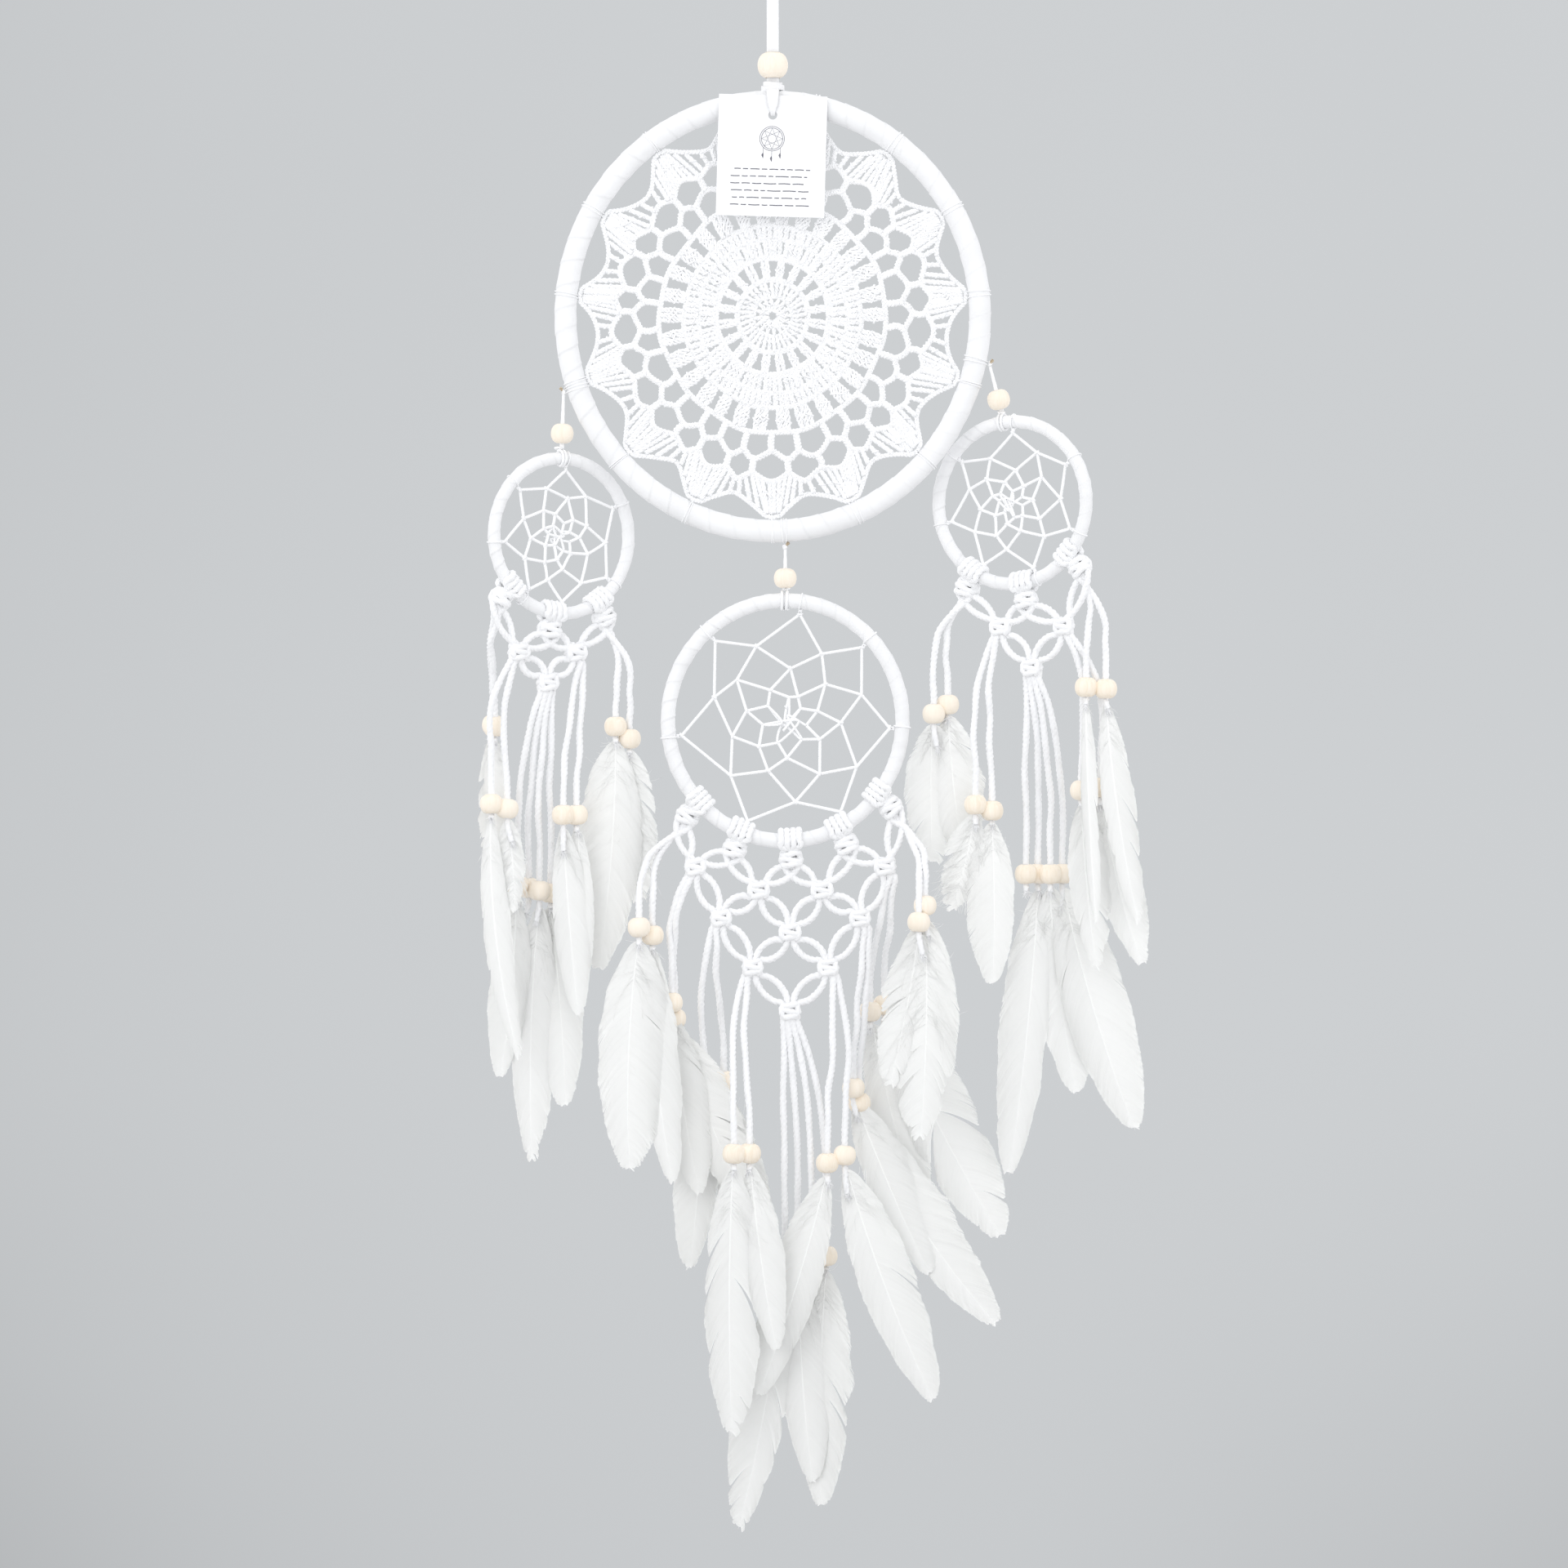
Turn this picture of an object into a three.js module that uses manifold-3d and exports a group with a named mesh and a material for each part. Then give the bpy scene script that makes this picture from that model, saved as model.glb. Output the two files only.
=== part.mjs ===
// A hanging dream catcher: a cloth-wrapped hoop round a crocheted star, with three smaller hoops
// that hang from it on beaded threads. Each small hoop holds a thread web and carries a macrame
// net, whose strands end in wooden beads and feathers.
//
// Millimetres. +X is to the right, +Y is away from the viewer and +Z is up.
// The origin is the top of the hanging ribbon's loop.

import * as THREE from "three";
import { mergeVertices } from "three/addons/utils/BufferGeometryUtils.js";
import Module from "manifold-3d";

// ---------------------------------------------------------------- driving dimensions

const GAP = 0.3;
// From a hoop's tube to what goes round it, so that flat facets stay clear of each other.
const SNUG = 1.1;

const RIBBON = { width: 6, thickness: 0.6, loopRadius: 5, loopLength: 58 };
const RIBBON_BEAD = { radius: 7.5, height: 12.8, bore: 3.5, z: -66.8 };

// Hoops are given by the radius of the core's centre line. squash is width over height.
const MAIN_HOOP = { z: -189.8, ring: 105.1, wrap: 5.6, core: 2.5, squash: 0.966, segments: 28 };

const DOILY = { points: 15, valley: 87, thickness: 2.4 };
const TAG = { width: 53, height: 60, thickness: 0.5, hole: 2.4, holeDrop: 11, tilt: 2 };
const TAG_PLACE = { y: -7.6, top: -81 };
const TIE = { width: 3, thickness: 0.5 };

const BEAD = { radius: 5.6, height: 9.6 };
const HANGER_BEAD_BORE = 1.4;
const THREAD = 1;
// The width of two cords side by side.
const PAIR = 5.4;
const STRAND_CLEAR = 1.6;
const FEATHER_THICKNESS = 1.4;
// The bare quill that stands above a feather's leaf, under its bead.
const QUILL = { radius: 1.2, stub: 4 };

const NET = { knotWidth: 9, knotHeight: 7, knotDepth: 6.4, mountWidth: 8, mountWall: 2.4 };
const WEB = { ties: 7, rounds: 3, pull: 0.7 };

// A pendant: centre is its hoop's centre, tie is how far down its thread is tied to the main hoop,
// and turn is how far the hoop has turned on its thread. The net hangs from mounts, spaced by
// mountStep round the hoop's foot. Its knots stand in rows, pitch apart, first row netDrop below
// the hoop's centre and each row rowDrop lower, with the outer knots lifted by lift times x squared.
// A group is the beads and feathers at the ends of neighbouring strands. at is its place from the
// hoop's centre: its second number is the group's layer, so that no group swings through another.
// spread is how its beads stand apart. Each feather is its lean in degrees, length and width.
const PENDANTS = [
  {
    name: "left", centre: [-103.4, -297.3], tie: -226.8, threadAt: 0, turn: 32,
    hoop: { ring: 38, wrap: 3.1, core: 1.3, squash: 1, segments: 20 },
    webStart: 4, mounts: 3, mountStart: -49, mountStep: 41,
    net: { shift: -8.5, pitch: 32, spread: 0, netDrop: 57, rowDrop: 14.8, lift: 0 },
    groups: [
      {
        at: [-33.4, 6, -93], beads: 2, spread: [-1, 7.5, 1],
        feathers: [[1, 74, 14], [-3, 60, 13]],
      },
      {
        at: [-30.2, -8, -132.4], beads: 2, spread: [7.6, 3, -2.4],
        feathers: [[-1, 114, 15], [4, 60, 14]],
      },
      {
        at: [-14, 12, -173.2], beads: 4, spread: [5.4, 5, -1.3],
        feathers: [[-5, 96, 20], [1, 130, 24], [8, 100, 24]],
      },
      {
        at: [4, 2, -136.6], beads: 2, spread: [6.4, 4, 0],
        feathers: [[-1, 108, 22]],
      },
      {
        at: [29.5, 14, -96.2], beads: 2, spread: [6.8, 3, -6],
        feathers: [[-4, 114, 31], [2, 78, 22]],
      },
    ],
  },
  {
    name: "centre", centre: [6.1, -387.8], tie: -301, threadAt: 0, turn: 0,
    hoop: { ring: 58.9, wrap: 3.7, core: 1.6, squash: 0.975, segments: 24 },
    webStart: 8, mounts: 5, mountStart: -47.5, mountStep: 25,
    net: { shift: 2.5, pitch: 31, spread: 3, netDrop: 84.4, rowDrop: 19.2, lift: 0.006 },
    groups: [
      {
        at: [-68.2, -6, -103], beads: 2, spread: [6.4, 6, -4],
        feathers: [[-6, 104, 30], [6, 119, 28]],
      },
      {
        at: [-55, 6, -142.2], beads: 2, spread: [1.6, 5, -8],
        feathers: [[24, 98, 27], [8, 84, 20]],
      },
      {
        at: [-35, 18, -178], beads: 2, spread: [9.4, 1, 1.6],
        feathers: [[9, 112, 26], [-6, 88, 22]],
      },
      {
        at: [-21.2, -18, -211], beads: 2, spread: [7.6, 4, 0],
        feathers: [[-1, 134, 28], [11, 96, 24]],
      },
      {
        at: [9.8, 6, -266.2], beads: 4, spread: [6.9, 6, 2.2],
        feathers: [[-10, 128, 26], [-3, 118, 24], [5, 114, 26]],
      },
      {
        at: [24.8, -6, -214.4], beads: 2, spread: [8.5, 2, 3.6],
        feathers: [[-16, 118, 24], [20, 124, 26]],
      },
      {
        at: [35, 6, -183.8], beads: 2, spread: [3, 4, -7.5],
        feathers: [[32, 126, 26], [22, 96, 24]],
      },
      {
        at: [45.4, 18, -141.4], beads: 2, spread: [7, 5, 3],
        feathers: [[27, 128, 34], [14, 104, 26]],
      },
      {
        at: [66.6, -18, -94.2], beads: 2, spread: [3.2, 5, 8],
        feathers: [[0, 108, 36], [-10, 76, 24]],
      },
    ],
  },
  {
    name: "right", centre: [117.2, -281], tie: -213.2, threadAt: -7, turn: -27,
    hoop: { ring: 39.8, wrap: 3.2, core: 1.3, squash: 1, segments: 20 },
    webStart: -5, mounts: 3, mountStart: -32, mountStep: 41,
    net: { shift: 11, pitch: 34, spread: 0, netDrop: 61, rowDrop: 20, lift: 0 },
    groups: [
      {
        at: [-34.6, 13, -101], beads: 2, spread: [7, 4, 4.6],
        feathers: [[10, 72, 30], [0, 60, 20]],
      },
      {
        at: [-13.8, 2, -149.4], beads: 2, spread: [8.2, 3, -3],
        feathers: [[0, 82, 24], [-14, 48, 20]],
      },
      {
        at: [16.2, 12, -182], beads: 4, spread: [6, 5, 0],
        feathers: [[-6, 146, 22], [7, 104, 26], [16, 128, 30]],
      },
      {
        at: [38.4, -4, -140.2], beads: 2, spread: [9.4, 2, 1.4],
        feathers: [[4, 84, 20], [12, 84, 20]],
      },
      {
        at: [40.4, -15, -91], beads: 2, spread: [9.6, 1, -0.8],
        feathers: [[2, 120, 18], [8, 116, 20]],
      },
    ],
  },
];

const wrapCloth = look("#f8f9fb", 0.85);
const cotton = look("#f7f8fa", 0.9);
const maple = look("#fbf3e6", 0.55);
const quill = look("#eef0ee", 0.7);
const card = look("#fafbfd", 0.6);
const wire = look("#b9bbbd", 0.35, 0.9);

// ---------------------------------------------------------------- helpers

function look(colour, roughness, metalness = 0) {
  return new THREE.MeshStandardMaterial({ color: new THREE.Color(colour), roughness, metalness });
}

const radians = THREE.MathUtils.degToRad;
const vector = (x, y, z) => new THREE.Vector3(x, y, z);
const wasm = await Module();
wasm.setup();

function piece(name, geometry, material) {
  const mesh = new THREE.Mesh(geometry, material);
  mesh.name = name;
  return mesh;
}

function solidFrom(geometry) {
  const bare = geometry.index ? geometry.toNonIndexed() : geometry.clone();
  bare.deleteAttribute("normal");
  bare.deleteAttribute("uv");
  const merged = mergeVertices(bare, 1e-3);
  const triVerts = new Uint32Array(merged.index.array);
  const vertProperties = merged.attributes.position.array;
  return new wasm.Manifold(new wasm.Mesh({ numProp: 3, vertProperties, triVerts }));
}

// One body from geometries that overlap.
function joined(geometries) {
  const mesh = geometries.map(solidFrom).reduce((sum, next) => sum.add(next)).getMesh();
  const geometry = new THREE.BufferGeometry();
  geometry.setAttribute("position", new THREE.BufferAttribute(mesh.vertProperties, 3));
  geometry.setIndex(new THREE.BufferAttribute(mesh.triVerts, 1));
  return geometry;
}

function circle(radius, sides, start = 0) {
  return Array.from({ length: sides }, (_, i) => {
    const angle = start + (2 * Math.PI * i) / sides;
    return new THREE.Vector2(radius * Math.cos(angle), radius * Math.sin(angle));
  });
}

// A tube along a smooth curve through the points.
function tube(points, diameter, sides, steps) {
  const extrudePath = new THREE.CatmullRomCurve3(points);
  const section = new THREE.Shape(circle(diameter / 2, sides));
  return new THREE.ExtrudeGeometry(section, { extrudePath, steps, bevelEnabled: false });
}

// A flat plate whose outline is drawn in X and Z, centred on y = 0.
function plate(shape, thickness, curveSegments = 6) {
  const options = { depth: thickness, bevelEnabled: false, curveSegments };
  return new THREE.ExtrudeGeometry(shape, options)
    .translate(0, 0, -thickness / 2)
    .rotateX(Math.PI / 2);
}

// A band whose outline is drawn in Y and Z, centred on x = 0.
function band(shape, width, curveSegments = 6) {
  const turn = new THREE.Matrix4().makeBasis(vector(0, 1, 0), vector(0, 0, 1), vector(1, 0, 0));
  return new THREE.ExtrudeGeometry(shape, { depth: width, bevelEnabled: false, curveSegments })
    .translate(0, 0, -width / 2)
    .applyMatrix4(turn);
}

// A band that goes once round a rod of the given radius, which runs along X.
function sleeve(rod, wall, width, sides) {
  const ring = new THREE.Shape(circle(rod + wall, sides));
  ring.holes.push(new THREE.Path(circle(rod, sides)));
  return band(ring, width);
}

// A bead, upright, with a bore where one is given.
function bead({ radius, height, bore = 0 }, sides) {
  const half = height / 2;
  const rim = 0.66 * radius;
  const belt = bore ? [[radius, -0.3 * half], [radius, 0.3 * half]] : [[radius, 0]];
  const profile = [[bore, -half], [rim, -half], ...belt, [rim, half], [bore, half]];
  if (bore) profile.push(profile[0]);
  const points = profile.map(([x, y]) => new THREE.Vector2(x, y));
  return new THREE.LatheGeometry(points, sides).rotateX(Math.PI / 2);
}

// ---------------------------------------------------------------- hoops

// The bent wire inside a hoop. The hoop's axis is Y.
function hoopCore({ ring, core, segments }) {
  const section = circle(core, 6).map((point) => point.add(new THREE.Vector2(ring, 0)));
  return new THREE.LatheGeometry([...section, section[0]], segments);
}

// The cloth sleeve round a hoop, open along a narrow seam at the back.
function hoopWrap({ ring, wrap, core, segments }, sides) {
  const seam = radians(8);
  const arc = (radius, steps) =>
    Array.from({ length: steps + 1 }, (_, i) => {
      const angle = Math.PI / 2 + seam + (i / steps) * 2 * (Math.PI - seam);
      return new THREE.Vector2(ring + radius * Math.cos(angle), radius * Math.sin(angle));
    });
  const outline = [...arc(wrap, sides), ...arc(core + 2 * GAP, sides - 2).reverse()];
  return new THREE.LatheGeometry([...outline, outline[0]], segments);
}

// ---------------------------------------------------------------- crocheted star

// A radial slot in the crochet, as a four-sided hole.
function slot(angle, inner, outer, width) {
  const corners = [[inner, -width / 3], [outer, -width / 2], [outer, width / 2], [inner, width / 3]];
  const turned = corners.map(([along, across]) => {
    const point = new THREE.Vector2(across, along);
    return point.rotateAround(new THREE.Vector2(), angle);
  });
  return new THREE.Path(turned);
}

function crochetStar() {
  const reach = MAIN_HOOP.ring - MAIN_HOOP.wrap - 2 * GAP;
  const outline = Array.from({ length: 2 * DOILY.points }, (_, i) => {
    const radius = i % 2 ? DOILY.valley : reach;
    const angle = Math.PI * (i / DOILY.points - 0.5);
    return new THREE.Vector2(radius * Math.cos(angle), radius * Math.sin(angle));
  });
  const star = new THREE.Shape(outline);
  // Each row of openings: start is its first opening's place, in steps round the row.
  const meshes = 2 * DOILY.points;
  const rows = [
    { count: 20, start: 0, inner: 19.5, outer: 27, width: 3.8 },
    { count: meshes, start: 0, inner: 45.5, outer: 55.5, width: 3.8 },
    { count: meshes, start: 0.5, inner: 59, outer: 67.5, width: 9 },
    { count: meshes, start: 0, inner: 70, outer: 78.5, width: 9 },
  ];
  for (const { count, start, inner, outer, width } of rows) {
    for (let i = 0; i < count; i++) {
      star.holes.push(slot((2 * Math.PI * (i + start)) / count, inner, outer, width));
    }
  }
  return plate(star, DOILY.thickness);
}

// ---------------------------------------------------------------- ribbon and tag

function loopOutline(radius, foot, footZ) {
  const outline = new THREE.Shape();
  outline.moveTo(foot, footZ);
  outline.absarc(0, -RIBBON.loopRadius, radius, 0, Math.PI, false);
  outline.lineTo(-foot, footZ);
  return outline;
}

// The doubled ribbon: a loop, a stretch through the bead, and a turn round the main hoop.
function hangingRibbon() {
  const { width, thickness, loopRadius, loopLength } = RIBBON;
  const loop = loopOutline(loopRadius, thickness, -loopLength);
  loop.holes.push(loopOutline(loopRadius - thickness, 0.1, 6 - loopLength));
  const turnRadius = MAIN_HOOP.wrap + SNUG / 2;
  const turnZ = MAIN_HOOP.z + MAIN_HOOP.ring;
  const tailFoot = turnZ + turnRadius + thickness / 2;
  const tailLength = 0.5 - loopLength - tailFoot;
  const tail = new THREE.BoxGeometry(width, 2 * thickness, tailLength);
  tail.translate(0, 0, tailFoot + tailLength / 2);
  const turn = sleeve(turnRadius, 1.4 * thickness, width, 12).translate(0, 0, turnZ);
  return joined([band(loop, width), tail, turn]);
}

// The card's strip: out of the knot, down in front of the card and back through its hole.
function tagTie() {
  const { y, top } = TAG_PLACE;
  const holeZ = top - TAG.holeDrop;
  const front = y - TAG.thickness - 0.6;
  const route = [[-1.3, top + 3.4], [-4.6, top + 3], [front, top], [front, holeZ + 1.2]];
  route.push([y, holeZ], [y + 1, holeZ]);
  const half = TIE.thickness / 2;
  const edge = (side) =>
    route.map(([sy, sz], i) => {
      const [beforeY, beforeZ] = route[Math.max(i - 1, 0)];
      const [afterY, afterZ] = route[Math.min(i + 1, route.length - 1)];
      const along = new THREE.Vector2(afterY - beforeY, afterZ - beforeZ).normalize();
      return new THREE.Vector2(sy - side * half * along.y, sz + side * half * along.x);
    });
  const strip = [...edge(1), ...edge(-1).reverse()];
  return band(new THREE.Shape(strip), TIE.width);
}

function hangTag() {
  const { width, height, thickness, hole, holeDrop } = TAG;
  const outline = new THREE.Shape();
  outline.moveTo(-width / 2, holeDrop - height);
  outline.lineTo(width / 2, holeDrop - height);
  outline.lineTo(width / 2, holeDrop);
  outline.lineTo(-width / 2, holeDrop);
  outline.holes.push(new THREE.Path(circle(hole, 10)));
  return plate(outline, thickness);
}

// ---------------------------------------------------------------- pendants

// A closed outline moved in or out of itself: distance is positive inwards for points that go
// anticlockwise.
function offset(points, distance) {
  const count = points.length;
  return points.map((point, i) => {
    const before = point.clone().sub(points[(i + count - 1) % count]).normalize();
    const after = points[(i + 1) % count].clone().sub(point).normalize();
    const inward = new THREE.Vector2(-before.y - after.y, before.x + after.x).normalize();
    const reach = distance / Math.max(0.3, inward.dot(new THREE.Vector2(-before.y, before.x)));
    return point.clone().addScaledVector(inward, reach);
  });
}

// Where the web's thread is hitched: round 0 is on the hoop, and each later round is hitched half
// way between the ties of the one before it and pulled inwards.
function webNode(hoop, start, round, index) {
  const reach = hoop.ring - hoop.wrap - SNUG - THREAD / 2;
  const angle = radians(90 - start) - (2 * Math.PI * (index + round / 2)) / WEB.ties;
  const radius = reach * WEB.pull ** round;
  return new THREE.Vector2(hoop.squash * radius * Math.cos(angle), radius * Math.sin(angle));
}

function web(hoop, start) {
  const node = (round, index) => webNode(hoop, start, round, index);
  const half = THREAD / 2;
  const rim = [];
  const heart = [];
  for (let k = WEB.ties; k > 0; k--) rim.push(node(1, k), node(0, k));
  for (let k = WEB.ties; k > 0; k--) heart.push(node(WEB.rounds, k), node(WEB.rounds - 1, k));
  const outline = new THREE.Shape(offset(rim, -half));
  outline.holes.push(new THREE.Path(offset(heart, half)));
  for (let round = 1; round < WEB.rounds; round++) {
    for (let k = 0; k < WEB.ties; k++) {
      const cell = [node(round - 1, k + 1), node(round, k), node(round + 1, k), node(round, k + 1)];
      outline.holes.push(new THREE.Path(offset(cell, half)));
    }
  }
  return plate(outline, THREAD);
}

// Where the thread meets its turn round the hoop, at the hoop's crown.
function threadFoot({ hoop, threadAt }) {
  const radius = hoop.ring + hoop.wrap + SNUG + THREAD / 2;
  const tilt = radians(threadAt);
  return vector(radius * Math.sin(tilt), 0, radius * Math.cos(tilt));
}

// The thread that hangs a hoop, knotted round its tube, and the web that it goes on to weave.
// top is the place of the thread's upper knot from the hoop's centre, turned with the hoop.
function hangerThread({ hoop, threadAt, webStart }, top) {
  const tilt = radians(threadAt);
  const turn = sleeve(hoop.wrap + SNUG, THREAD, THREAD, 8).translate(0, 0, hoop.ring).rotateY(tilt);
  const foot = threadFoot({ hoop, threadAt });
  const lead = tube([top, foot.clone().lerp(top, 0.5), foot], THREAD, 6, 1);
  const knot = new THREE.OctahedronGeometry(1.1 * THREAD).translate(top.x, top.y, top.z);
  const tie = webNode(hoop, webStart, 0, 0);
  const inside = foot.clone().setLength(hoop.ring - hoop.wrap - SNUG - THREAD / 2);
  const first = vector(tie.x, 0, tie.y);
  const link = tube([inside, inside.clone().lerp(first, 0.5), first], THREAD, 6, 1);
  return joined([turn, lead, knot, link, web(hoop, webStart)]);
}

// Two strands that lie together: out of their knot, over, and straight down to their beads.
function strandPair(from, to) {
  const drop = from.z - to.z;
  const over = Math.abs(to.x - from.x);
  const shoulder = vector(to.x, (from.y + to.y) / 2, from.z - Math.min(0.4 * drop, 8 + over));
  return tube([from, shoulder, to], PAIR, 5, 2);
}

function beadPlaces({ at, beads, spread }) {
  const [x, y, z] = at;
  const [sx, sy, sz] = spread;
  return Array.from({ length: beads }, (_, i) => {
    const along = i - (beads - 1) / 2;
    const depth = i % 2 ? 0.5 : -0.5;
    return vector(x + along * sx, y + depth * sy, z + along * sz);
  });
}

// The net's knots, in rows, one fewer in each row than mounts or knots above it.
function netKnots({ mounts, net }) {
  const rows = [];
  for (let row = 1; row < mounts; row++) {
    const count = mounts - row;
    const pitch = net.pitch + net.spread * (row - 1);
    const knots = Array.from({ length: count }, (_, k) => {
      const x = (k - (count - 1) / 2) * pitch;
      const z = -net.netDrop - net.rowDrop * (row - 1) + net.lift * x * x;
      return vector(net.shift + x, 0, z);
    });
    rows.push(knots);
  }
  return rows;
}

function macrame(pendant) {
  const { hoop, mounts, mountStart, mountStep, groups } = pendant;
  const turn = radians(pendant.turn);
  const placed = (point) => point.clone().applyAxisAngle(vector(0, 0, 1), turn);
  const parts = [];
  const heads = [];
  for (let i = 0; i < mounts; i++) {
    const angle = radians(mountStart + i * mountStep);
    const head = sleeve(hoop.wrap + SNUG, NET.mountWall, NET.mountWidth, 6);
    parts.push(head.translate(0, 0, -hoop.ring).rotateY(-angle).scale(hoop.squash, 1, 1).rotateZ(turn));
    const foot = hoop.ring + hoop.wrap + SNUG + NET.mountWall;
    heads.push(vector(hoop.squash * foot * Math.sin(angle), 0, -foot * Math.cos(angle)));
  }
  const rows = [heads, ...netKnots(pendant)].map((row) => row.map(placed));
  for (const knot of rows.slice(1).flat()) {
    const shape = new THREE.SphereGeometry(0.5, 5, 3).rotateX(Math.PI / 2);
    shape.scale(NET.knotWidth, NET.knotDepth, NET.knotHeight).rotateZ(turn);
    parts.push(shape.translate(knot.x, knot.y, knot.z));
  }
  for (let row = 1; row < mounts; row++) {
    rows[row].forEach((knot, k) => {
      for (const above of [rows[row - 1][k], rows[row - 1][k + 1]]) {
        parts.push(tube([above, above.clone().lerp(knot, 0.5), knot], PAIR, 4, 1));
      }
    });
  }
  const last = mounts - 1;
  groups.forEach((group, i) => {
    const row = last - Math.abs(last - i);
    const knot = i <= last ? rows[row][0] : rows[row][rows[row].length - 1];
    const places = beadPlaces(group);
    for (let pair = 0; pair < places.length; pair += 2) {
      const middle = places[pair].clone().lerp(places[pair + 1], 0.5);
      const top = Math.max(places[pair].z, places[pair + 1].z) + BEAD.height / 2 + STRAND_CLEAR;
      parts.push(strandPair(knot, middle.setZ(top)));
    }
  });
  return joined(parts);
}

// A feather: a leaf with its quill up, leaning from its bead.
function feather([lean, length, width]) {
  const half = width / 2;
  const outward = [0.7 * half, half, 0.6 * half];
  const down = [-0.12 * length, -0.5 * length, -0.88 * length];
  const side = [[QUILL.radius, QUILL.stub], ...outward.map((x, i) => [x, down[i]])];
  const right = side.map(([x, z]) => new THREE.Vector2(x, z));
  const left = side.map(([x, z]) => new THREE.Vector2(-x, z)).reverse();
  const outline = new THREE.Shape([...left, ...right, new THREE.Vector2(0, -length)]);
  return plate(outline, FEATHER_THICKNESS).rotateY(-radians(lean));
}

function featherGroup(group) {
  const lowest = Math.min(...beadPlaces(group).map((place) => place.z));
  const top = lowest - BEAD.height / 2 - 2 * GAP - QUILL.stub - 1;
  const [x, y] = group.at;
  return joined(group.feathers.map(feather)).translate(x, y, top);
}

function beadGroup(group) {
  return joined(beadPlaces(group).map(({ x, y, z }) => bead(BEAD, 8).translate(x, y, z)));
}

function mainHoopEdge(z) {
  const { ring, wrap, squash } = MAIN_HOOP;
  return squash * (ring + wrap) * Math.sqrt(1 - ((z - MAIN_HOOP.z) / (ring + wrap)) ** 2);
}

// Where the pendant's thread leaves the main hoop, from the centre of the pendant's own hoop.
function threadTop({ name, centre, tie }) {
  const clear = THREAD + 2 * GAP;
  const edge = { left: -mainHoopEdge(tie) - clear, centre: centre[0], right: mainHoopEdge(tie) + clear };
  return vector(edge[name] - centre[0], 0, tie - centre[1] - (name === "centre" ? clear : 0));
}

function pendant(settings) {
  const { name, centre, hoop, turn } = settings;
  const group = new THREE.Group();
  group.position.set(centre[0], 0, centre[1]);

  const turned = new THREE.Group();
  turned.rotation.z = radians(turn);
  const core = piece(`${name}_hoop_core`, hoopCore(hoop), wire);
  const wrap = piece(`${name}_hoop_wrap`, hoopWrap(hoop, 6), wrapCloth);
  core.scale.x = hoop.squash;
  wrap.scale.x = hoop.squash;
  const top = threadTop(settings);
  const localTop = top.clone().applyAxisAngle(vector(0, 0, 1), -radians(turn));
  turned.add(core, wrap, piece(`${name}_web_thread`, hangerThread(settings, localTop), cotton));

  const foot = threadFoot(settings).applyAxisAngle(vector(0, 0, 1), radians(turn));
  const hangerBead = piece(`${name}_hanger_bead`, bead({ ...BEAD, bore: HANGER_BEAD_BORE }, 10), maple);
  hangerBead.position.copy(foot.clone().lerp(top, 0.42));
  hangerBead.quaternion.setFromUnitVectors(vector(0, 0, 1), top.clone().sub(foot).normalize());

  group.add(turned, hangerBead, piece(`${name}_macrame`, macrame(settings), cotton));
  settings.groups.forEach((ends, i) => {
    group.add(piece(`${name}_beads_${i + 1}`, beadGroup(ends), maple));
    group.add(piece(`${name}_feathers_${i + 1}`, featherGroup(ends), quill));
  });
  return group;
}

// ---------------------------------------------------------------- the whole object

const dreamCatcher = new THREE.Group();

const hoop = new THREE.Group();
hoop.position.z = MAIN_HOOP.z;
hoop.scale.x = MAIN_HOOP.squash;
hoop.add(piece("main_hoop_core", hoopCore(MAIN_HOOP), wire));
hoop.add(piece("main_hoop_wrap", hoopWrap(MAIN_HOOP, 8), wrapCloth));
hoop.add(piece("crochet_star", crochetStar(), cotton));
dreamCatcher.add(hoop);

dreamCatcher.add(piece("hanging_ribbon", hangingRibbon(), cotton));
const ribbonBead = piece("ribbon_bead", bead(RIBBON_BEAD, 12), maple);
ribbonBead.position.z = RIBBON_BEAD.z;
dreamCatcher.add(ribbonBead);

const tag = piece("hang_tag", hangTag(), card);
tag.position.set(0, TAG_PLACE.y, TAG_PLACE.top - TAG.holeDrop);
tag.rotation.y = radians(TAG.tilt);
dreamCatcher.add(tag, piece("tag_tie", tagTie(), cotton));

for (const settings of PENDANTS) dreamCatcher.add(pendant(settings));

export default dreamCatcher;
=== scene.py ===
"""A hanging dream catcher: a cloth-wrapped hoop round a crocheted star, and three smaller hoops below it,
each with a thread web and a macrame net that ends in wooden beads and feathers.

Shapes are worked out in millimetres, in the part's own frame, and turned into metres by piece().
+X is to the right, +Y away from the camera and +Z up. The origin is the top of the ribbon's loop.
"""

import math
import random

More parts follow.
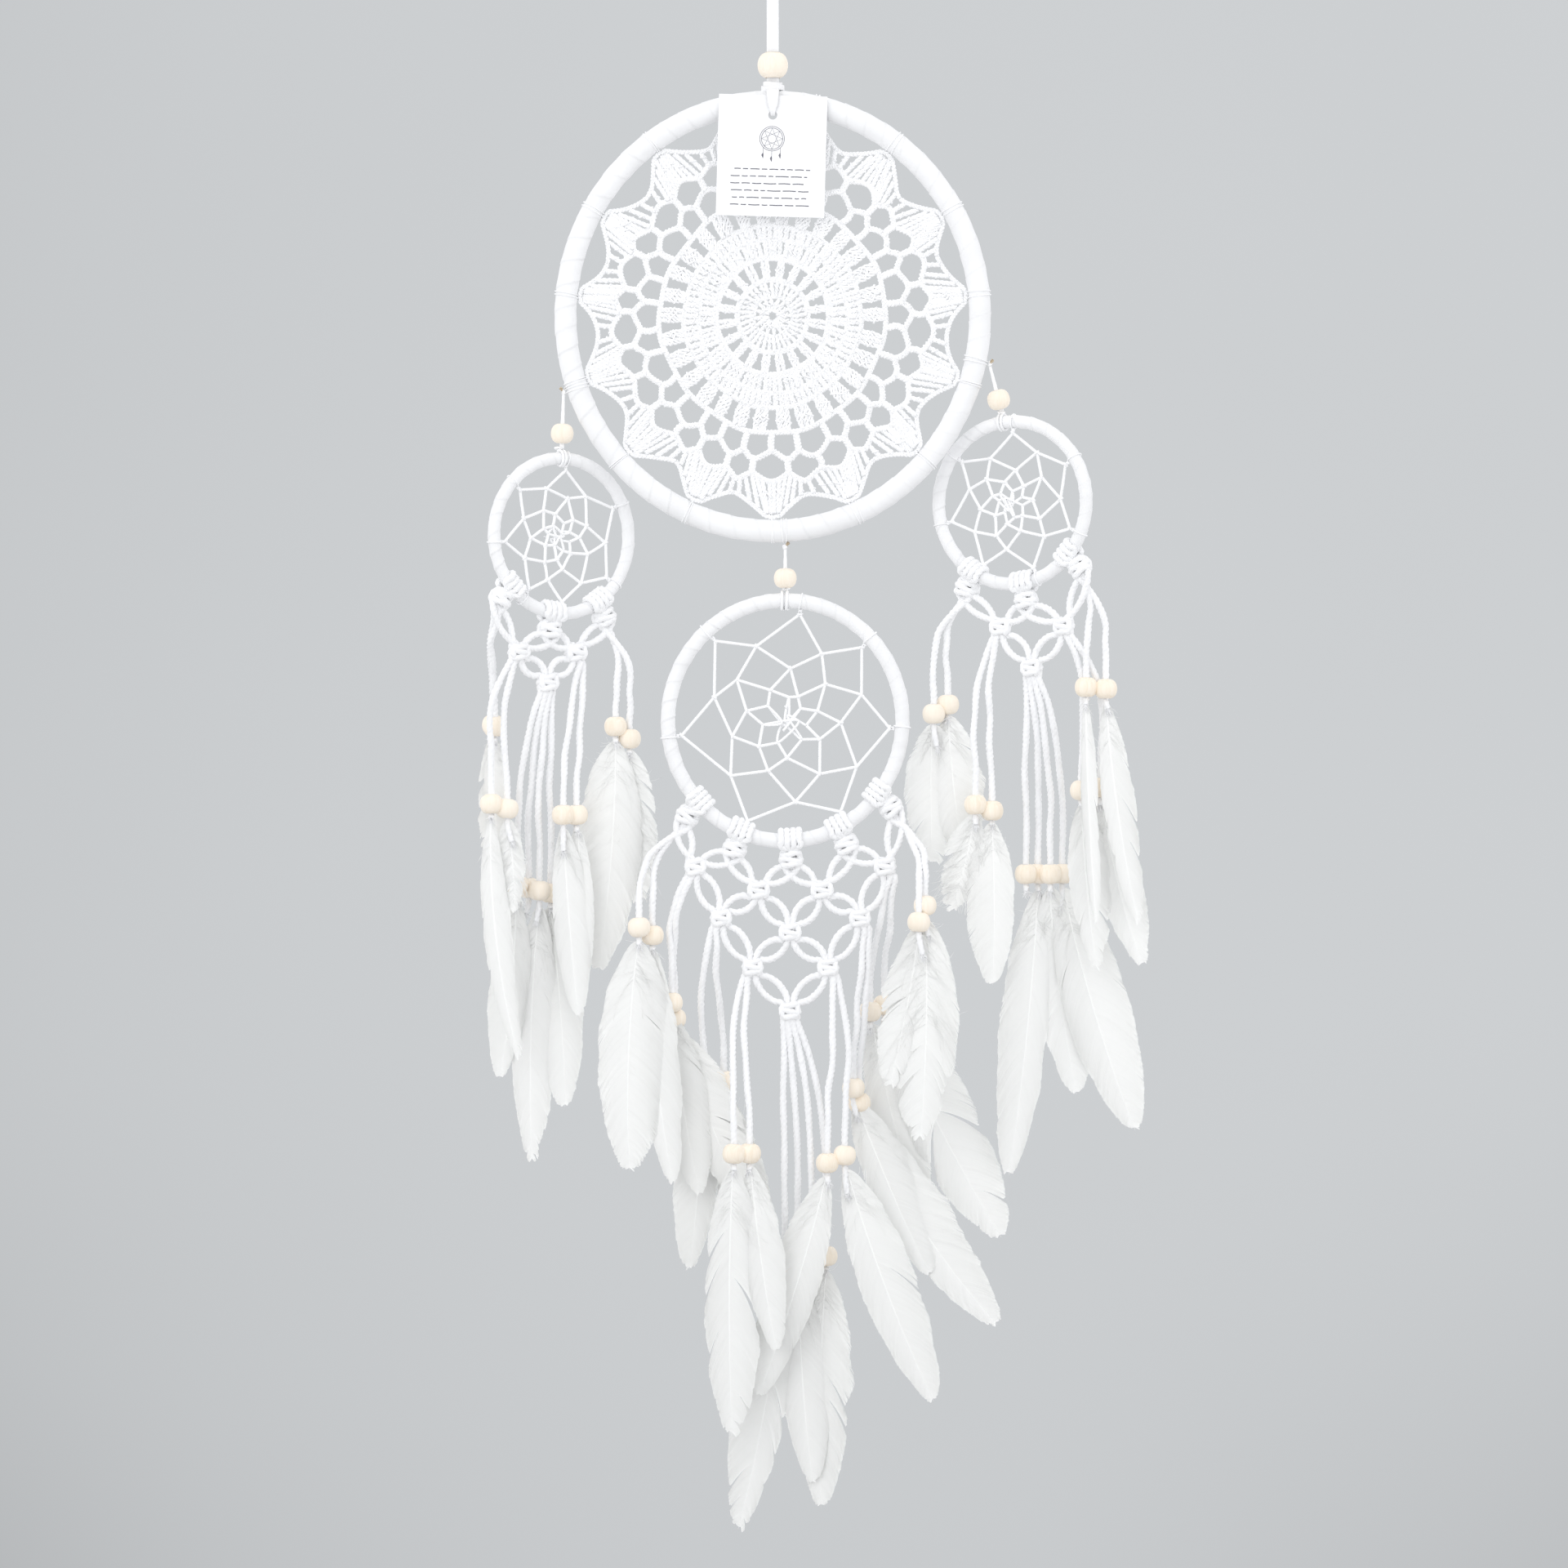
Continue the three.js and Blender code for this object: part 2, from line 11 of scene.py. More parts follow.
import bpy
import numpy as np
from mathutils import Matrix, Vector


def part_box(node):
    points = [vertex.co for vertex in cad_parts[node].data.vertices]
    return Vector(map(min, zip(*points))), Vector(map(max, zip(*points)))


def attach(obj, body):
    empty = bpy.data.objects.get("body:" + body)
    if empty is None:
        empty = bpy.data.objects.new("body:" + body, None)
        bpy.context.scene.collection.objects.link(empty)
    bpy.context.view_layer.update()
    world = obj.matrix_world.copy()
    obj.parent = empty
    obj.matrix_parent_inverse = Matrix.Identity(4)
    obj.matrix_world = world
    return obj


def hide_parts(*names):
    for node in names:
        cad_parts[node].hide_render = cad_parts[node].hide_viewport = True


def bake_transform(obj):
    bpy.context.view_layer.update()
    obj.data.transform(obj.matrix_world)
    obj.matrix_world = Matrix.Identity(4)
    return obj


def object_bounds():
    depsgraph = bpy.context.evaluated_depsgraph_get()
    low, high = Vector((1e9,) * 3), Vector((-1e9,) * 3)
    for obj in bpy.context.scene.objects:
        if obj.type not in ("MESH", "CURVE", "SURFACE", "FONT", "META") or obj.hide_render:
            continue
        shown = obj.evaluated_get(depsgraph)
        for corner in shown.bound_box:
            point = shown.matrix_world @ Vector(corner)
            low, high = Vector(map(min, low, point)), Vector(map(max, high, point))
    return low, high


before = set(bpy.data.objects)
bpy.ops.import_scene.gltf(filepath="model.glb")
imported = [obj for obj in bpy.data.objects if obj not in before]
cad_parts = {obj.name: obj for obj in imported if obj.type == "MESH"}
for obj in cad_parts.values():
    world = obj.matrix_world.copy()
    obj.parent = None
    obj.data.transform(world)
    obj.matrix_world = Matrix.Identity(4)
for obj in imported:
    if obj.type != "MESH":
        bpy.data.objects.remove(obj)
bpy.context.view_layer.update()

MM = 0.001
UP = np.array([0.0, 0.0, 1.0])
BACK = np.array([0.0, 1.0, 0.0])

# ---------------------------------------------------------------- the part's own sizes, from its CAD source,
# apart from THREAD, which is drawn thicker than in CAD, as the photograph has it

MAIN_HOOP = {"centre": (0, -189.8), "turn": 0, "ring": 105.1, "wrap": 5.6, "squash": 0.966}
CORD = 3.4
THREAD = 1.5
BEAD = {"radius": 5.6, "height": 9.6, "bore": 1.9}
RIBBON = {"width": 6.0, "thickness": 0.6, "loop_radius": 5.0, "loop_length": 58.0}
RIBBON_BEAD = {"radius": 7.5, "height": 12.8, "bore": 3.4}
TAG = {"width": 53.0, "height": 59.2, "thickness": 0.5, "hole": 2.2, "hole_drop": 9.7, "tilt": 1.6}
TAG_PLACE = {"y": -7.6, "top": -82.3}

# A pendant's centre is its hoop's and tie is how far down its thread is tied to the main hoop. thread_at is
# the thread's angle on the small hoop, and turn is how far the hoop has turned on it. ring, wrap and squash
# are the hoop's radius, its tube's radius and how narrow it is. ties are the angles, clockwise from the top,
# at which its web is hitched. mounts is how many places the cords hang from, mount_step degrees apart and
# anticlockwise from mount_start, which is measured from the bottom. net has the places of the knots below
# them. A group is the place of its beads' centre from the hoop's centre, the number of beads and how they
# stand apart. Each feather is its bead, lean in degrees, length, width, bow in degrees, and kind.
PENDANTS = [
    {
        "name": "left", "centre": (-103.4, -297.3), "tie": -226.8, "thread_at": 0, "turn": 32,
        "ring": 38.0, "wrap": 3.1, "squash": 1.0,
        "ties": (4, 64, 128, 180, 215, 264, 313),
        "mounts": 3, "mount_start": -49, "mount_step": 41,
        "net": {"shift": -8.5, "pitch": 32, "spread": 0, "drop": 57, "row": 14.8, "lift": 0},
        "groups": [
            {"at": (-33.4, 6, -93), "beads": 2, "spread": (-1, 7.5, 1),
             "feathers": [(0, 1, 62, 12, 6, "vane"), (1, -3, 56, 11, -6, "torn")]},
            {"at": (-30.2, -8, -132.4), "beads": 2, "spread": (7.6, 3, -2.4),
             "feathers": [(0, 4, 122, 14, 12, "torn"), (1, 5, 48, 14, -8, "down")]},
            {"at": (-14, 12, -173.2), "beads": 4, "spread": (5.4, 5, -1.3),
             "feathers": [(0, -4, 92, 20, -6, "vane"), (2, -3, 130, 22, 6, "torn"),
                          (3, 5, 102, 26, -4, "vane")]},
            {"at": (4, 2, -136.6), "beads": 2, "spread": (6.4, 4, 0),
             "feathers": [(0, 4, 96, 18, 2, "vane"), (1, 3, 82, 14, -3, "vane")]},
            {"at": (29.5, 14, -96.2), "beads": 2, "spread": (6.8, 3, -6),
             "feathers": [(0, -3, 117, 33, -6, "vane"), (1, 2, 78, 22, 4, "down")]},
        ],
    },
    {
        "name": "centre", "centre": (6.1, -387.8), "tie": -301.0, "thread_at": 0, "turn": 0,
        "ring": 58.9, "wrap": 3.7, "squash": 0.975,
        "ties": (8, 47, 94, 148, 201, 262, 318),
        "mounts": 5, "mount_start": -47.5, "mount_step": 25,
        "net": {"shift": 2.5, "pitch": 31, "spread": 3, "drop": 84.4, "row": 19.2, "lift": 0.006},
        "groups": [
            {"at": (-68.2, -6, -103), "beads": 2, "spread": (6.4, 6, -4),
             "feathers": [(0, -4, 116, 36, 8, "vane"), (1, 3, 119, 20, 9, "vane")]},
            {"at": (-55, 6, -142.2), "beads": 2, "spread": (1.6, 5, -8),
             "feathers": [(0, 8, 92, 22, 4, "vane"), (1, 21, 98, 28, 6, "split")]},
            {"at": (-35, 18, -178), "beads": 2, "spread": (9.4, 1, 1.6),
             "feathers": [(0, -4, 88, 22, -4, "vane"), (1, 10, 116, 26, 5, "vane")]},
            {"at": (-21.2, -18, -211), "beads": 2, "spread": (7.6, 4, 0),
             "feathers": [(0, -1, 134, 30, 4, "torn"), (1, 7, 94, 20, 4, "vane")]},
            {"at": (9.8, 6, -266.2), "beads": 4, "spread": (6.9, 6, 2.2),
             "feathers": [(0, -9, 126, 27, -6, "torn"), (1, 3, 104, 24, 5, "vane"),
                          (3, -2, 120, 27, 4, "split")]},
            {"at": (24.8, -6, -214.4), "beads": 2, "spread": (8.5, 2, 3.6),
             "feathers": [(0, -16, 116, 25, -5, "vane"), (1, 19, 125, 28, 7, "vane")]},
            {"at": (35, 6, -183.8), "beads": 2, "spread": (3, 4, -7.5),
             "feathers": [(0, 22, 96, 24, 5, "vane"), (1, 30, 126, 29, 14, "vane")]},
            {"at": (45.4, 18, -141.4), "beads": 2, "spread": (7, 5, 3),
             "feathers": [(1, 26, 125, 38, 6, "split"), (0, 13, 104, 26, 5, "vane")]},
            {"at": (66.6, -18, -94.2), "beads": 2, "spread": (3.2, 5, 8),
             "feathers": [(1, 0, 110, 36, -6, "ragged"), (0, -10, 78, 24, -5, "torn")]},
        ],
    },
    {
        "name": "right", "centre": (117.2, -281.0), "tie": -213.2, "thread_at": -7, "turn": -27,
        "ring": 39.8, "wrap": 3.2, "squash": 1.0,
        "ties": (1, 58, 113, 160, 207, 255, 307),
        "mounts": 3, "mount_start": -32, "mount_step": 41,
        "net": {"shift": 11, "pitch": 34, "spread": 0, "drop": 61, "row": 20, "lift": 0},
        "groups": [
            {"at": (-34.6, 13, -101), "beads": 2, "spread": (7, 4, 4.6),
             "feathers": [(1, 5, 74, 26, 5, "vane"), (0, -1, 70, 30, 4, "torn")]},
            {"at": (-13.8, 2, -149.4), "beads": 2, "spread": (8.2, 3, -3),
             "feathers": [(1, 1, 82, 24, -4, "vane"), (0, -12, 50, 20, -8, "down")]},
            {"at": (16.2, 12, -182), "beads": 4, "spread": (6, 5, 0),
             "feathers": [(3, 15, 128, 33, 7, "vane"), (1, -5, 146, 24, -4, "vane"),
                          (2, 6, 106, 27, 6, "vane")]},
            {"at": (38.4, -4, -140.2), "beads": 2, "spread": (9.4, 2, 1.4),
             "feathers": [(0, 4, 84, 20, 5, "torn"), (1, 12, 86, 22, 8, "vane")]},
            {"at": (40.4, -15, -91), "beads": 2, "spread": (9.6, 1, -0.8),
             "feathers": [(0, 2, 112, 9, 3, "torn"), (1, 7, 112, 16, 6, "torn")]},
        ],
    },
]

# ---------------------------------------------------------------- lines and surfaces


def unit(vectors):
    return vectors / np.maximum(np.linalg.norm(vectors, axis=-1, keepdims=True), 1e-9)


def turned(points, degrees):
    """The points turned about the upright axis."""
    angle = math.radians(degrees)
    c, s = math.cos(angle), math.sin(angle)
    return np.asarray(points, float) @ np.array([[c, s, 0], [-s, c, 0], [0, 0, 1]])


def along_line(line):
    """How far along a line each of its points is."""
    return np.concatenate([[0], np.cumsum(np.linalg.norm(np.diff(line, axis=0), axis=1))])


def respaced(line, step):
    along = along_line(line)
    count = max(2, round(along[-1] / step) + 1)
    at = np.linspace(0, along[-1], count)
    return np.column_stack([np.interp(at, along, line[:, axis]) for axis in range(3)])


def curve(points, step):
    """A smooth line through the points, as points that are a step apart."""
    p = np.asarray(points, float)
    ends = np.vstack([2 * p[0] - p[1], p, 2 * p[-1] - p[-2]])
    t = np.linspace(0, 1, 14, endpoint=False)[:, None]
    parts = []
    for a, b, c, d in zip(ends, ends[1:], ends[2:], ends[3:]):
        square, cube = 2 * a - 5 * b + 4 * c - d, 3 * b - a - 3 * c + d
        parts.append(0.5 * (2 * b + (c - a) * t + square * t**2 + cube * t**3))
    return respaced(np.vstack([*parts, p[-1:]]), step)


def directions(line, closed=False):
    """The way that a line runs at each of its points."""
    padded = np.vstack([line[-1], line, line[0]]) if closed else line
    tangent = unit(np.gradient(padded, axis=0))
    return tangent[1:-1] if closed else tangent


def sides_of(line, closed):
    """At each point of a line, two directions across it that turn as little as they can."""
    tangent = directions(line, closed)
    start = BACK if abs(tangent[0] @ BACK) < 0.9 else UP
    across = start - tangent[0] * (start @ tangent[0])
    rows = []
    for direction in tangent:
        across = across - direction * (across @ direction)
        across = across / math.sqrt(across @ across)
        rows.append(across)
    first = np.array(rows)
    return first, np.cross(tangent, first)


class Shape:
    """Points and faces that become one piece. shade is a number per point that its material reads."""

    def __init__(self):
        self.points, self.faces, self.shades, self.count = [], [], [], 0

    def add(self, points, faces, shade=0.5):
        points = np.asarray(points, float)
        self.points.append(points)
        self.shades.append(np.broadcast_to(np.asarray(shade, float), (len(points),)))
        if isinstance(faces, np.ndarray):
            self.faces.extend((faces + self.count).tolist())
        else:
            self.faces.extend([[corner + self.count for corner in face] for face in faces])
        self.count += len(points)

    def tube(self, line, radius, sides, plies=0, pitch=6.0, crease=0.2, rough=None, shade=0.5, closed=False):
        """A tube round a line. With plies it is a twisted cord, whose strands lie a crease deep."""
        line = np.asarray(line, float)
        count = len(line)
        first, second = sides_of(line, closed)
        angle = np.linspace(0, 2 * math.pi, sides, endpoint=False)[None, :]
        size = np.asarray(radius, float).reshape(-1, 1) * np.ones((count, sides))
        if plies:
            along = along_line(line)[:, None]
            if closed:
                whole = along[-1, 0] + np.linalg.norm(line[0] - line[-1])
                pitch = whole / max(1, round(whole / pitch))
            lobe = np.abs(np.cos(plies / 2 * (angle - 2 * math.pi * along / pitch)))
            size = size * (1 - crease * (1 - lobe))
        if rough is not None:
            amount, numbers = rough
            size = size + numbers.normal(0, amount, size.shape)
        round_about = np.cos(angle)[..., None] * first[:, None] + np.sin(angle)[..., None] * second[:, None]
        points = line[:, None, :] + size[..., None] * round_about
        self.add(points.reshape(-1, 3), quads(count, sides, closed), shade)
        if not closed:
            self.close_ends(count, sides)

    def close_ends(self, rows, columns):
        """A face on the first row and one on the last row of the grid of points that was added last."""
        start = self.count - rows * columns
        self.faces.append(list(range(start + columns - 1, start - 1, -1)))
        self.faces.append(list(range(self.count - columns, self.count)))

    def cord(self, line, radius, crease, rough, closed=False):
        """A tube of the three-ply cotton cord."""
        self.tube(line, radius, 12, plies=3, pitch=7.5, crease=crease, rough=rough, closed=closed)

    def lathe(self, profile, sides, rotation, place, shade):
        """A closed profile of (radius, height) that goes round an axis, turned and put in place."""
        radius, height = np.asarray(profile, float).T[:, :, None]
        angle = np.linspace(0, 2 * math.pi, sides, endpoint=False)
        level = np.broadcast_to(height, (len(profile), sides))
        points = np.stack([radius * np.cos(angle), radius * np.sin(angle), level], axis=-1).reshape(-1, 3)
        self.add(points @ rotation.T + place, quads(len(profile), sides, True), shade)


def quads(rows, columns, closed):
    """The faces of a grid whose rows close round, and whose last row meets the first if closed."""
    row = np.arange(rows if closed else rows - 1)[:, None]
    column = np.arange(columns)[None, :]
    ahead = (row + 1) % rows
    beside = (column + 1) % columns
    row, ahead = row * columns, ahead * columns
    corners = [row + column, row + beside, ahead + beside, ahead + column]
    return np.stack(corners, axis=-1).reshape(-1, 4)


def strip(rows, columns, start):
    """The faces of an open grid, whose first point has the number start."""
    row = np.arange(rows - 1)[:, None]
    column = np.arange(columns - 1)[None, :]
    base = row * columns + column + start
    return np.stack([base, base + 1, base + columns + 1, base + columns], axis=-1).reshape(-1, 4)


def piece(name, shape, material, body, replaces=()):
    """Makes the shape a Blender object, in metres. It moves with a CAD body, if it is given one."""
    mesh = bpy.data.meshes.new(name)
    points = np.vstack(shape.points) * MM
    mesh.from_pydata(points.tolist(), [], shape.faces)
    mesh.shade_smooth()
    attribute = mesh.attributes.new("shade", "FLOAT", "POINT")
    attribute.data.foreach_set("value", np.concatenate(shape.shades).astype(np.float32))
    mesh.materials.append(material)
    made = bpy.data.objects.new(name, mesh)
    bpy.context.scene.collection.objects.link(made)
    if body:
        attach(made, body)
    if replaces:
        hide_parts(*replaces)
    return made


# ---------------------------------------------------------------- materials


class Nodes:
    """A node tree that is put together a step at a time."""

    def __init__(self, owner):
        owner.use_nodes = True
        self.nodes = owner.node_tree.nodes
        self.links = owner.node_tree.links

    def node(self, kind, inputs=None, **settings):
        made = self.nodes.new(kind)
        for key, value in settings.items():
            setattr(made, key, value)
        for key, value in (inputs or {}).items():
            if isinstance(value, bpy.types.NodeSocket):
                self.links.new(value, made.inputs[key])
            else:
                made.inputs[key].default_value = value
        return made

    def math(self, operation, first, second=0.5):
        return self.node("ShaderNodeMath", {0: first, 1: second}, operation=operation).outputs[0]

    def mix(self, share, first, second, blend="MIX"):
        colours = [c if isinstance(c, bpy.types.NodeSocket) else (*c, 1) for c in (first, second)]
        inputs = {0: share, 6: colours[0], 7: colours[1]}
        return self.node("ShaderNodeMix", inputs, data_type="RGBA", blend_type=blend).outputs[2]


class Look(Nodes):
    """A material's nodes."""

    def __init__(self, name, **settings):
        self.material = bpy.data.materials.new(name)
        super().__init__(self.material)
        self.shader = self.nodes["Principled BSDF"]
        for socket, value in settings.items():
            self.shader.inputs[socket.replace("_", " ")].default_value = value
        self.height = None

    def place(self, scale=(1, 1, 1)):
        """Where a point is in the object, in metres, stretched by a scale."""
        texture = self.node("ShaderNodeTexCoord")
        mapping = self.node("ShaderNodeMapping", {"Vector": texture.outputs["Object"], "Scale": scale})
        return mapping.outputs["Vector"]

    def noise(self, size, detail=3.0, scale=(1, 1, 1), distortion=0.0):
        """Noise whose lumps are about size metres across."""
        inputs = dict(Vector=self.place(scale), Scale=1 / size, Detail=detail, Distortion=distortion)
        return self.node("ShaderNodeTexNoise", inputs).outputs["Fac"]

    def of_mesh(self, attribute):
        return self.node("ShaderNodeAttribute", attribute_name=attribute).outputs["Fac"]

    def ramp(self, value, stops):
        made = self.node("ShaderNodeValToRGB", {"Fac": value})
        ramp = made.color_ramp
        while len(ramp.elements) < len(stops):
            ramp.elements.new(0.5)
        for element, (at, colour) in zip(ramp.elements, stops):
            element.position = at
            element.color = (*colour, 1)
        return made.outputs["Color"]

    def colour(self, socket):
        self.links.new(socket, self.shader.inputs["Base Color"])
        return self

    def rough(self, value, low, high):
        span = self.node("ShaderNodeMapRange", {"Value": value, "To Min": low, "To Max": high})
        self.links.new(span.outputs["Result"], self.shader.inputs["Roughness"])
        return self

    def bump(self, value, distance, strength=0.6):
        inputs = {"Height": value, "Distance": distance, "Strength": strength}
        if self.height is not None:
            inputs["Normal"] = self.height
        self.height = self.node("ShaderNodeBump", inputs).outputs["Normal"]
        self.links.new(self.height, self.shader.inputs["Normal"])
        return self


def grey(value, tint=(1, 1, 1)):
    return tuple(value * channel for channel in tint)


COOL = (0.985, 0.99, 1.0)
WARM = (0.995, 1.0, 0.988)
WEAVE_PITCH = 0.55  # from one thread of the hoops' cloth to the next


def cotton_look(name, deep, light, fibre):
    """Soft cotton: fine fibres along and across, with painted shade that makes it slightly greyer in the
    hollows of its fibre bump, and greyer in broad random patches.
    """
    look = Look(name, Sheen_Weight=0.25, Sheen_Roughness=0.6, Specular_IOR_Level=0.2)
    fine = look.noise(fibre, detail=5, distortion=0.6)
    broad = look.noise(fibre * 14, detail=2)
    fibre_hollow_shade = look.math("MULTIPLY_ADD", fine, 0.6)
    fibre_hollow_shade.node.inputs[2].default_value = 0.2
    stops = [(0.12, grey(deep, COOL)), (0.34, grey(light, COOL))]
    # painted shade: where the fine noise, which is also the bump's height, is low, the colour goes to deep,
    # so the bump's hollows are greyer; broad only adds random patches
    look.colour(look.ramp(look.math("MULTIPLY", fibre_hollow_shade, broad), stops)).rough(fine, 0.82, 0.98)
    return look.bump(fine, fibre * 0.8, 0.35).material


def cloth_look():
    """The thin cloth strip round the hoops: a plain weave, whose threads follow the strip, with painted
    shade along its overlapping edges.
    """
    look = Look("wrap_cloth", Sheen_Weight=0.12, Sheen_Roughness=0.5, Specular_IOR_Level=0.3)
    waves = []
    for way in ("around", "along"):
        turn = look.math("MULTIPLY", look.of_mesh(way), 2 * math.pi / WEAVE_PITCH)
        waves.append(look.math("SINE", turn))
    weave = look.math("MULTIPLY", *waves)
    stain = look.noise(0.018, detail=3)
    edge = look.of_mesh("shade")
    body = look.ramp(stain, [(0.3, grey(0.875, COOL)), (0.7, grey(0.92, COOL))])
    # painted shade: up to a quarter of grey 0.78 along the strip's overlapping edges, read from the shade
    # attribute
    lines = look.mix(look.math("MULTIPLY", edge, 0.25), body, grey(0.78, (0.98, 0.985, 1.0)))
    look.colour(lines).rough(stain, 0.6, 0.8)
    look.bump(look.noise(0.0016, detail=4), 0.00012, 0.35)
    return look.bump(weave, 0.00005, 0.3).material


def feather_look():
    """A bleached feather. shade tells barbs apart with painted sheen streaks, and is 1 on quills and down,
    where no light crosses.
    """
    look = Look("feather", Sheen_Weight=0.35, Sheen_Roughness=0.4, Specular_IOR_Level=0.3)
    barb = look.of_mesh("shade")
    stain = look.noise(0.03, detail=3, scale=(1, 1, 0.6))
    stops = [(0.0, 0.95), (0.45, 0.99), (0.9, 0.998), (1.0, 0.97)]
    # painted sheen: the barbs' shade, in lengthwise streaks, picks a lighter or darker white
    tone = look.ramp(barb, [(at, grey(light, WARM)) for at, light in stops])
    stained = grey(0.95, (1.0, 0.99, 0.97))
    look.colour(look.mix(look.math("MULTIPLY", stain, 0.06), tone, stained, "MULTIPLY"))
    look.rough(barb, 0.5, 0.72)
    look.bump(look.noise(0.0009, detail=4, scale=(1, 1, 0.25)), 0.00006, 0.3)
    lit = look.node("ShaderNodeBsdfTranslucent", {"Color": (0.975, 0.98, 0.967, 1)})
    share = look.math("MULTIPLY", look.math("LESS_THAN", barb, 0.95), 0.06)
    through = look.node("ShaderNodeMixShader", {0: share, 1: look.shader.outputs[0], 2: lit.outputs[0]})
    look.links.new(through.outputs[0], look.nodes["Material Output"].inputs["Surface"])
    return look.material


def wood_look():
    """Pale turned maple: fine upright grain, end grain at the bore, and a thin dull wax."""
    look = Look("wood_bead", Coat_Weight=0.08, Coat_Roughness=0.45, Specular_IOR_Level=0.35)
    tone = look.of_mesh("shade")
    grain = look.noise(0.0022, detail=6, scale=(1, 1, 0.12), distortion=1.2)
    pores = look.noise(0.0005, detail=3, scale=(1, 1, 0.2))
    stops = [(0.3, (0.90, 0.785, 0.635)), (0.5, (0.95, 0.855, 0.72)), (0.72, (0.98, 0.90, 0.79))]
    wood = look.ramp(grain, stops)
    deep = look.ramp(pores, [(0.62, grey(0)), (0.72, grey(0.3))])
    pored = look.mix(deep, wood, (0.82, 0.68, 0.53))
    look.colour(look.mix(tone, pored, (0.97, 0.90, 0.80))).rough(grain, 0.42, 0.62)
    return look.bump(pores, 0.00006, 0.25).material


def ribbon_look():
    """A narrow cotton tape: fine cross ribs and a firmer edge."""
    look = Look("ribbon", Sheen_Weight=0.2, Sheen_Roughness=0.5, Specular_IOR_Level=0.35)
    inputs = {"Vector": look.place(), "Scale": 260.0, "Distortion": 0.4}
    ribs = look.node("ShaderNodeTexWave", inputs, bands_direction="Z")
    fine = look.noise(0.0008, detail=4)
    stops = [(0.3, grey(0.86, COOL)), (0.7, grey(0.93, COOL))]
    look.colour(look.ramp(fine, stops)).rough(fine, 0.55, 0.8)
    return look.bump(ribs.outputs["Fac"], 0.00008, 0.35).material


def card_look():
    """White card with a faint tooth."""
    look = Look("card", Specular_IOR_Level=0.3)
    tooth = look.noise(0.0007, detail=5)
    stops = [(0.3, grey(0.90, COOL)), (0.7, grey(0.95, COOL))]
    look.colour(look.ramp(tooth, stops)).rough(tooth, 0.55, 0.7)
    return look.bump(tooth, 0.00002, 0.3).material


def ink_look():
    look = Look("card_ink", Specular_IOR_Level=0.2)
    worn = look.noise(0.0005, detail=4)
    stops = [(0.3, (0.13, 0.13, 0.16)), (0.7, (0.24, 0.24, 0.28))]
    look.colour(look.ramp(worn, stops)).rough(worn, 0.6, 0.8)
    return look.material


def wire_look():
    """The bent steel wire inside the hoops."""
    look = Look("hoop_wire", Metallic=1.0)
    scratch = look.noise(0.0015, detail=4, scale=(1, 1, 0.3))
    look.colour(look.ramp(scratch, [(0.3, grey(0.42)), (0.7, grey(0.58))])).rough(scratch, 0.28, 0.45)
    return look.bump(scratch, 0.00003, 0.2).material


def burnt_look():
    """The scorched end of a cut thread."""
    look = Look("thread_end", Specular_IOR_Level=0.4)
    char = look.noise(0.0008, detail=3)
    stops = [(0.35, (0.30, 0.21, 0.12)), (0.65, (0.72, 0.63, 0.48))]
    look.colour(look.ramp(char, stops)).rough(char, 0.4, 0.7)
    return look.material


COTTON_CORD = cotton_look("cotton_cord", 0.92, 0.97, 0.0006)
CROCHET_YARN = cotton_look("crochet_yarn", 0.94, 0.98, 0.0004)
WEB_THREAD = cotton_look("web_thread", 0.94, 0.98, 0.0003)
WRAP_CLOTH = cloth_look()
FEATHER = feather_look()
WOOD = wood_look()
TAPE = ribbon_look()
CARD = card_look()
INK = ink_look()
WIRE = wire_look()
BURNT = burnt_look()

# ---------------------------------------------------------------- camera

VIEW_CENTRE = Vector((5.5, 0, -418.8)) * MM
VIEW_WIDTH = 0.768
VIEW_DISTANCE = 3.2

lens = bpy.data.cameras.new("camera")
lens.sensor_width = 36
lens.lens = lens.sensor_width * VIEW_DISTANCE / VIEW_WIDTH
lens.clip_start = 0.1
lens.clip_end = 50
camera = bpy.data.objects.new("camera", lens)
camera.location = VIEW_CENTRE + Vector((0, -VIEW_DISTANCE, 0))
camera.rotation_euler = (math.radians(90), 0, 0)
bpy.context.scene.collection.objects.link(camera)
bpy.context.scene.camera = camera

# ---------------------------------------------------------------- macrame cords

KNOT_GAUGE = 2.3  # from one strand to the next inside a knot
KNOT_TURN = 2.5  # from one turn of a knot's wrap to the next
LARK_GAUGE = 2.9  # from one turn to the next round a hoop
KNOT_HALF = 3.4  # from a knot's middle to where its strands leave it
LENS_BOW = 3.4  # how far two strands bow apart between knots
CORD_STEP = 0.75  # from one row of a cord's points to the next


class Knot:
    """A knot that four strands pass through, side by side."""

    def __init__(self, centre, down, side):
        self.centre, self.down, self.side = np.asarray(centre, float), unit(down), unit(side)
        self.front = np.cross(self.down, self.side)

    def at(self, strand, along):
        lean = 0.6 if strand in (1, 2) else -0.3
        sideways = self.side * ((strand - 1.5) * KNOT_GAUGE)
        return self.centre + sideways + self.down * along + self.front * lean


def placed(pendant, point):
    """A point in the pendant's turned hoop, in the part's frame."""
    x, z = pendant["centre"]
    return turned(point, pendant["turn"]) + np.array([x, 0, z])


def mount_axes(pendant, index):
    """Straight out of the hoop at a mount, along the hoop there, and the point of its centre line."""
    angle = math.radians(pendant["mount_start"] + index * pendant["mount_step"])
    down = turned((math.sin(angle), 0, -math.cos(angle)), pendant["turn"])
    side = turned((math.cos(angle), 0, math.sin(angle)), pendant["turn"])
    ring = pendant["ring"]
    rim = placed(pendant, (pendant["squash"] * ring * math.sin(angle), 0, -ring * math.cos(angle)))
    return down, side, rim


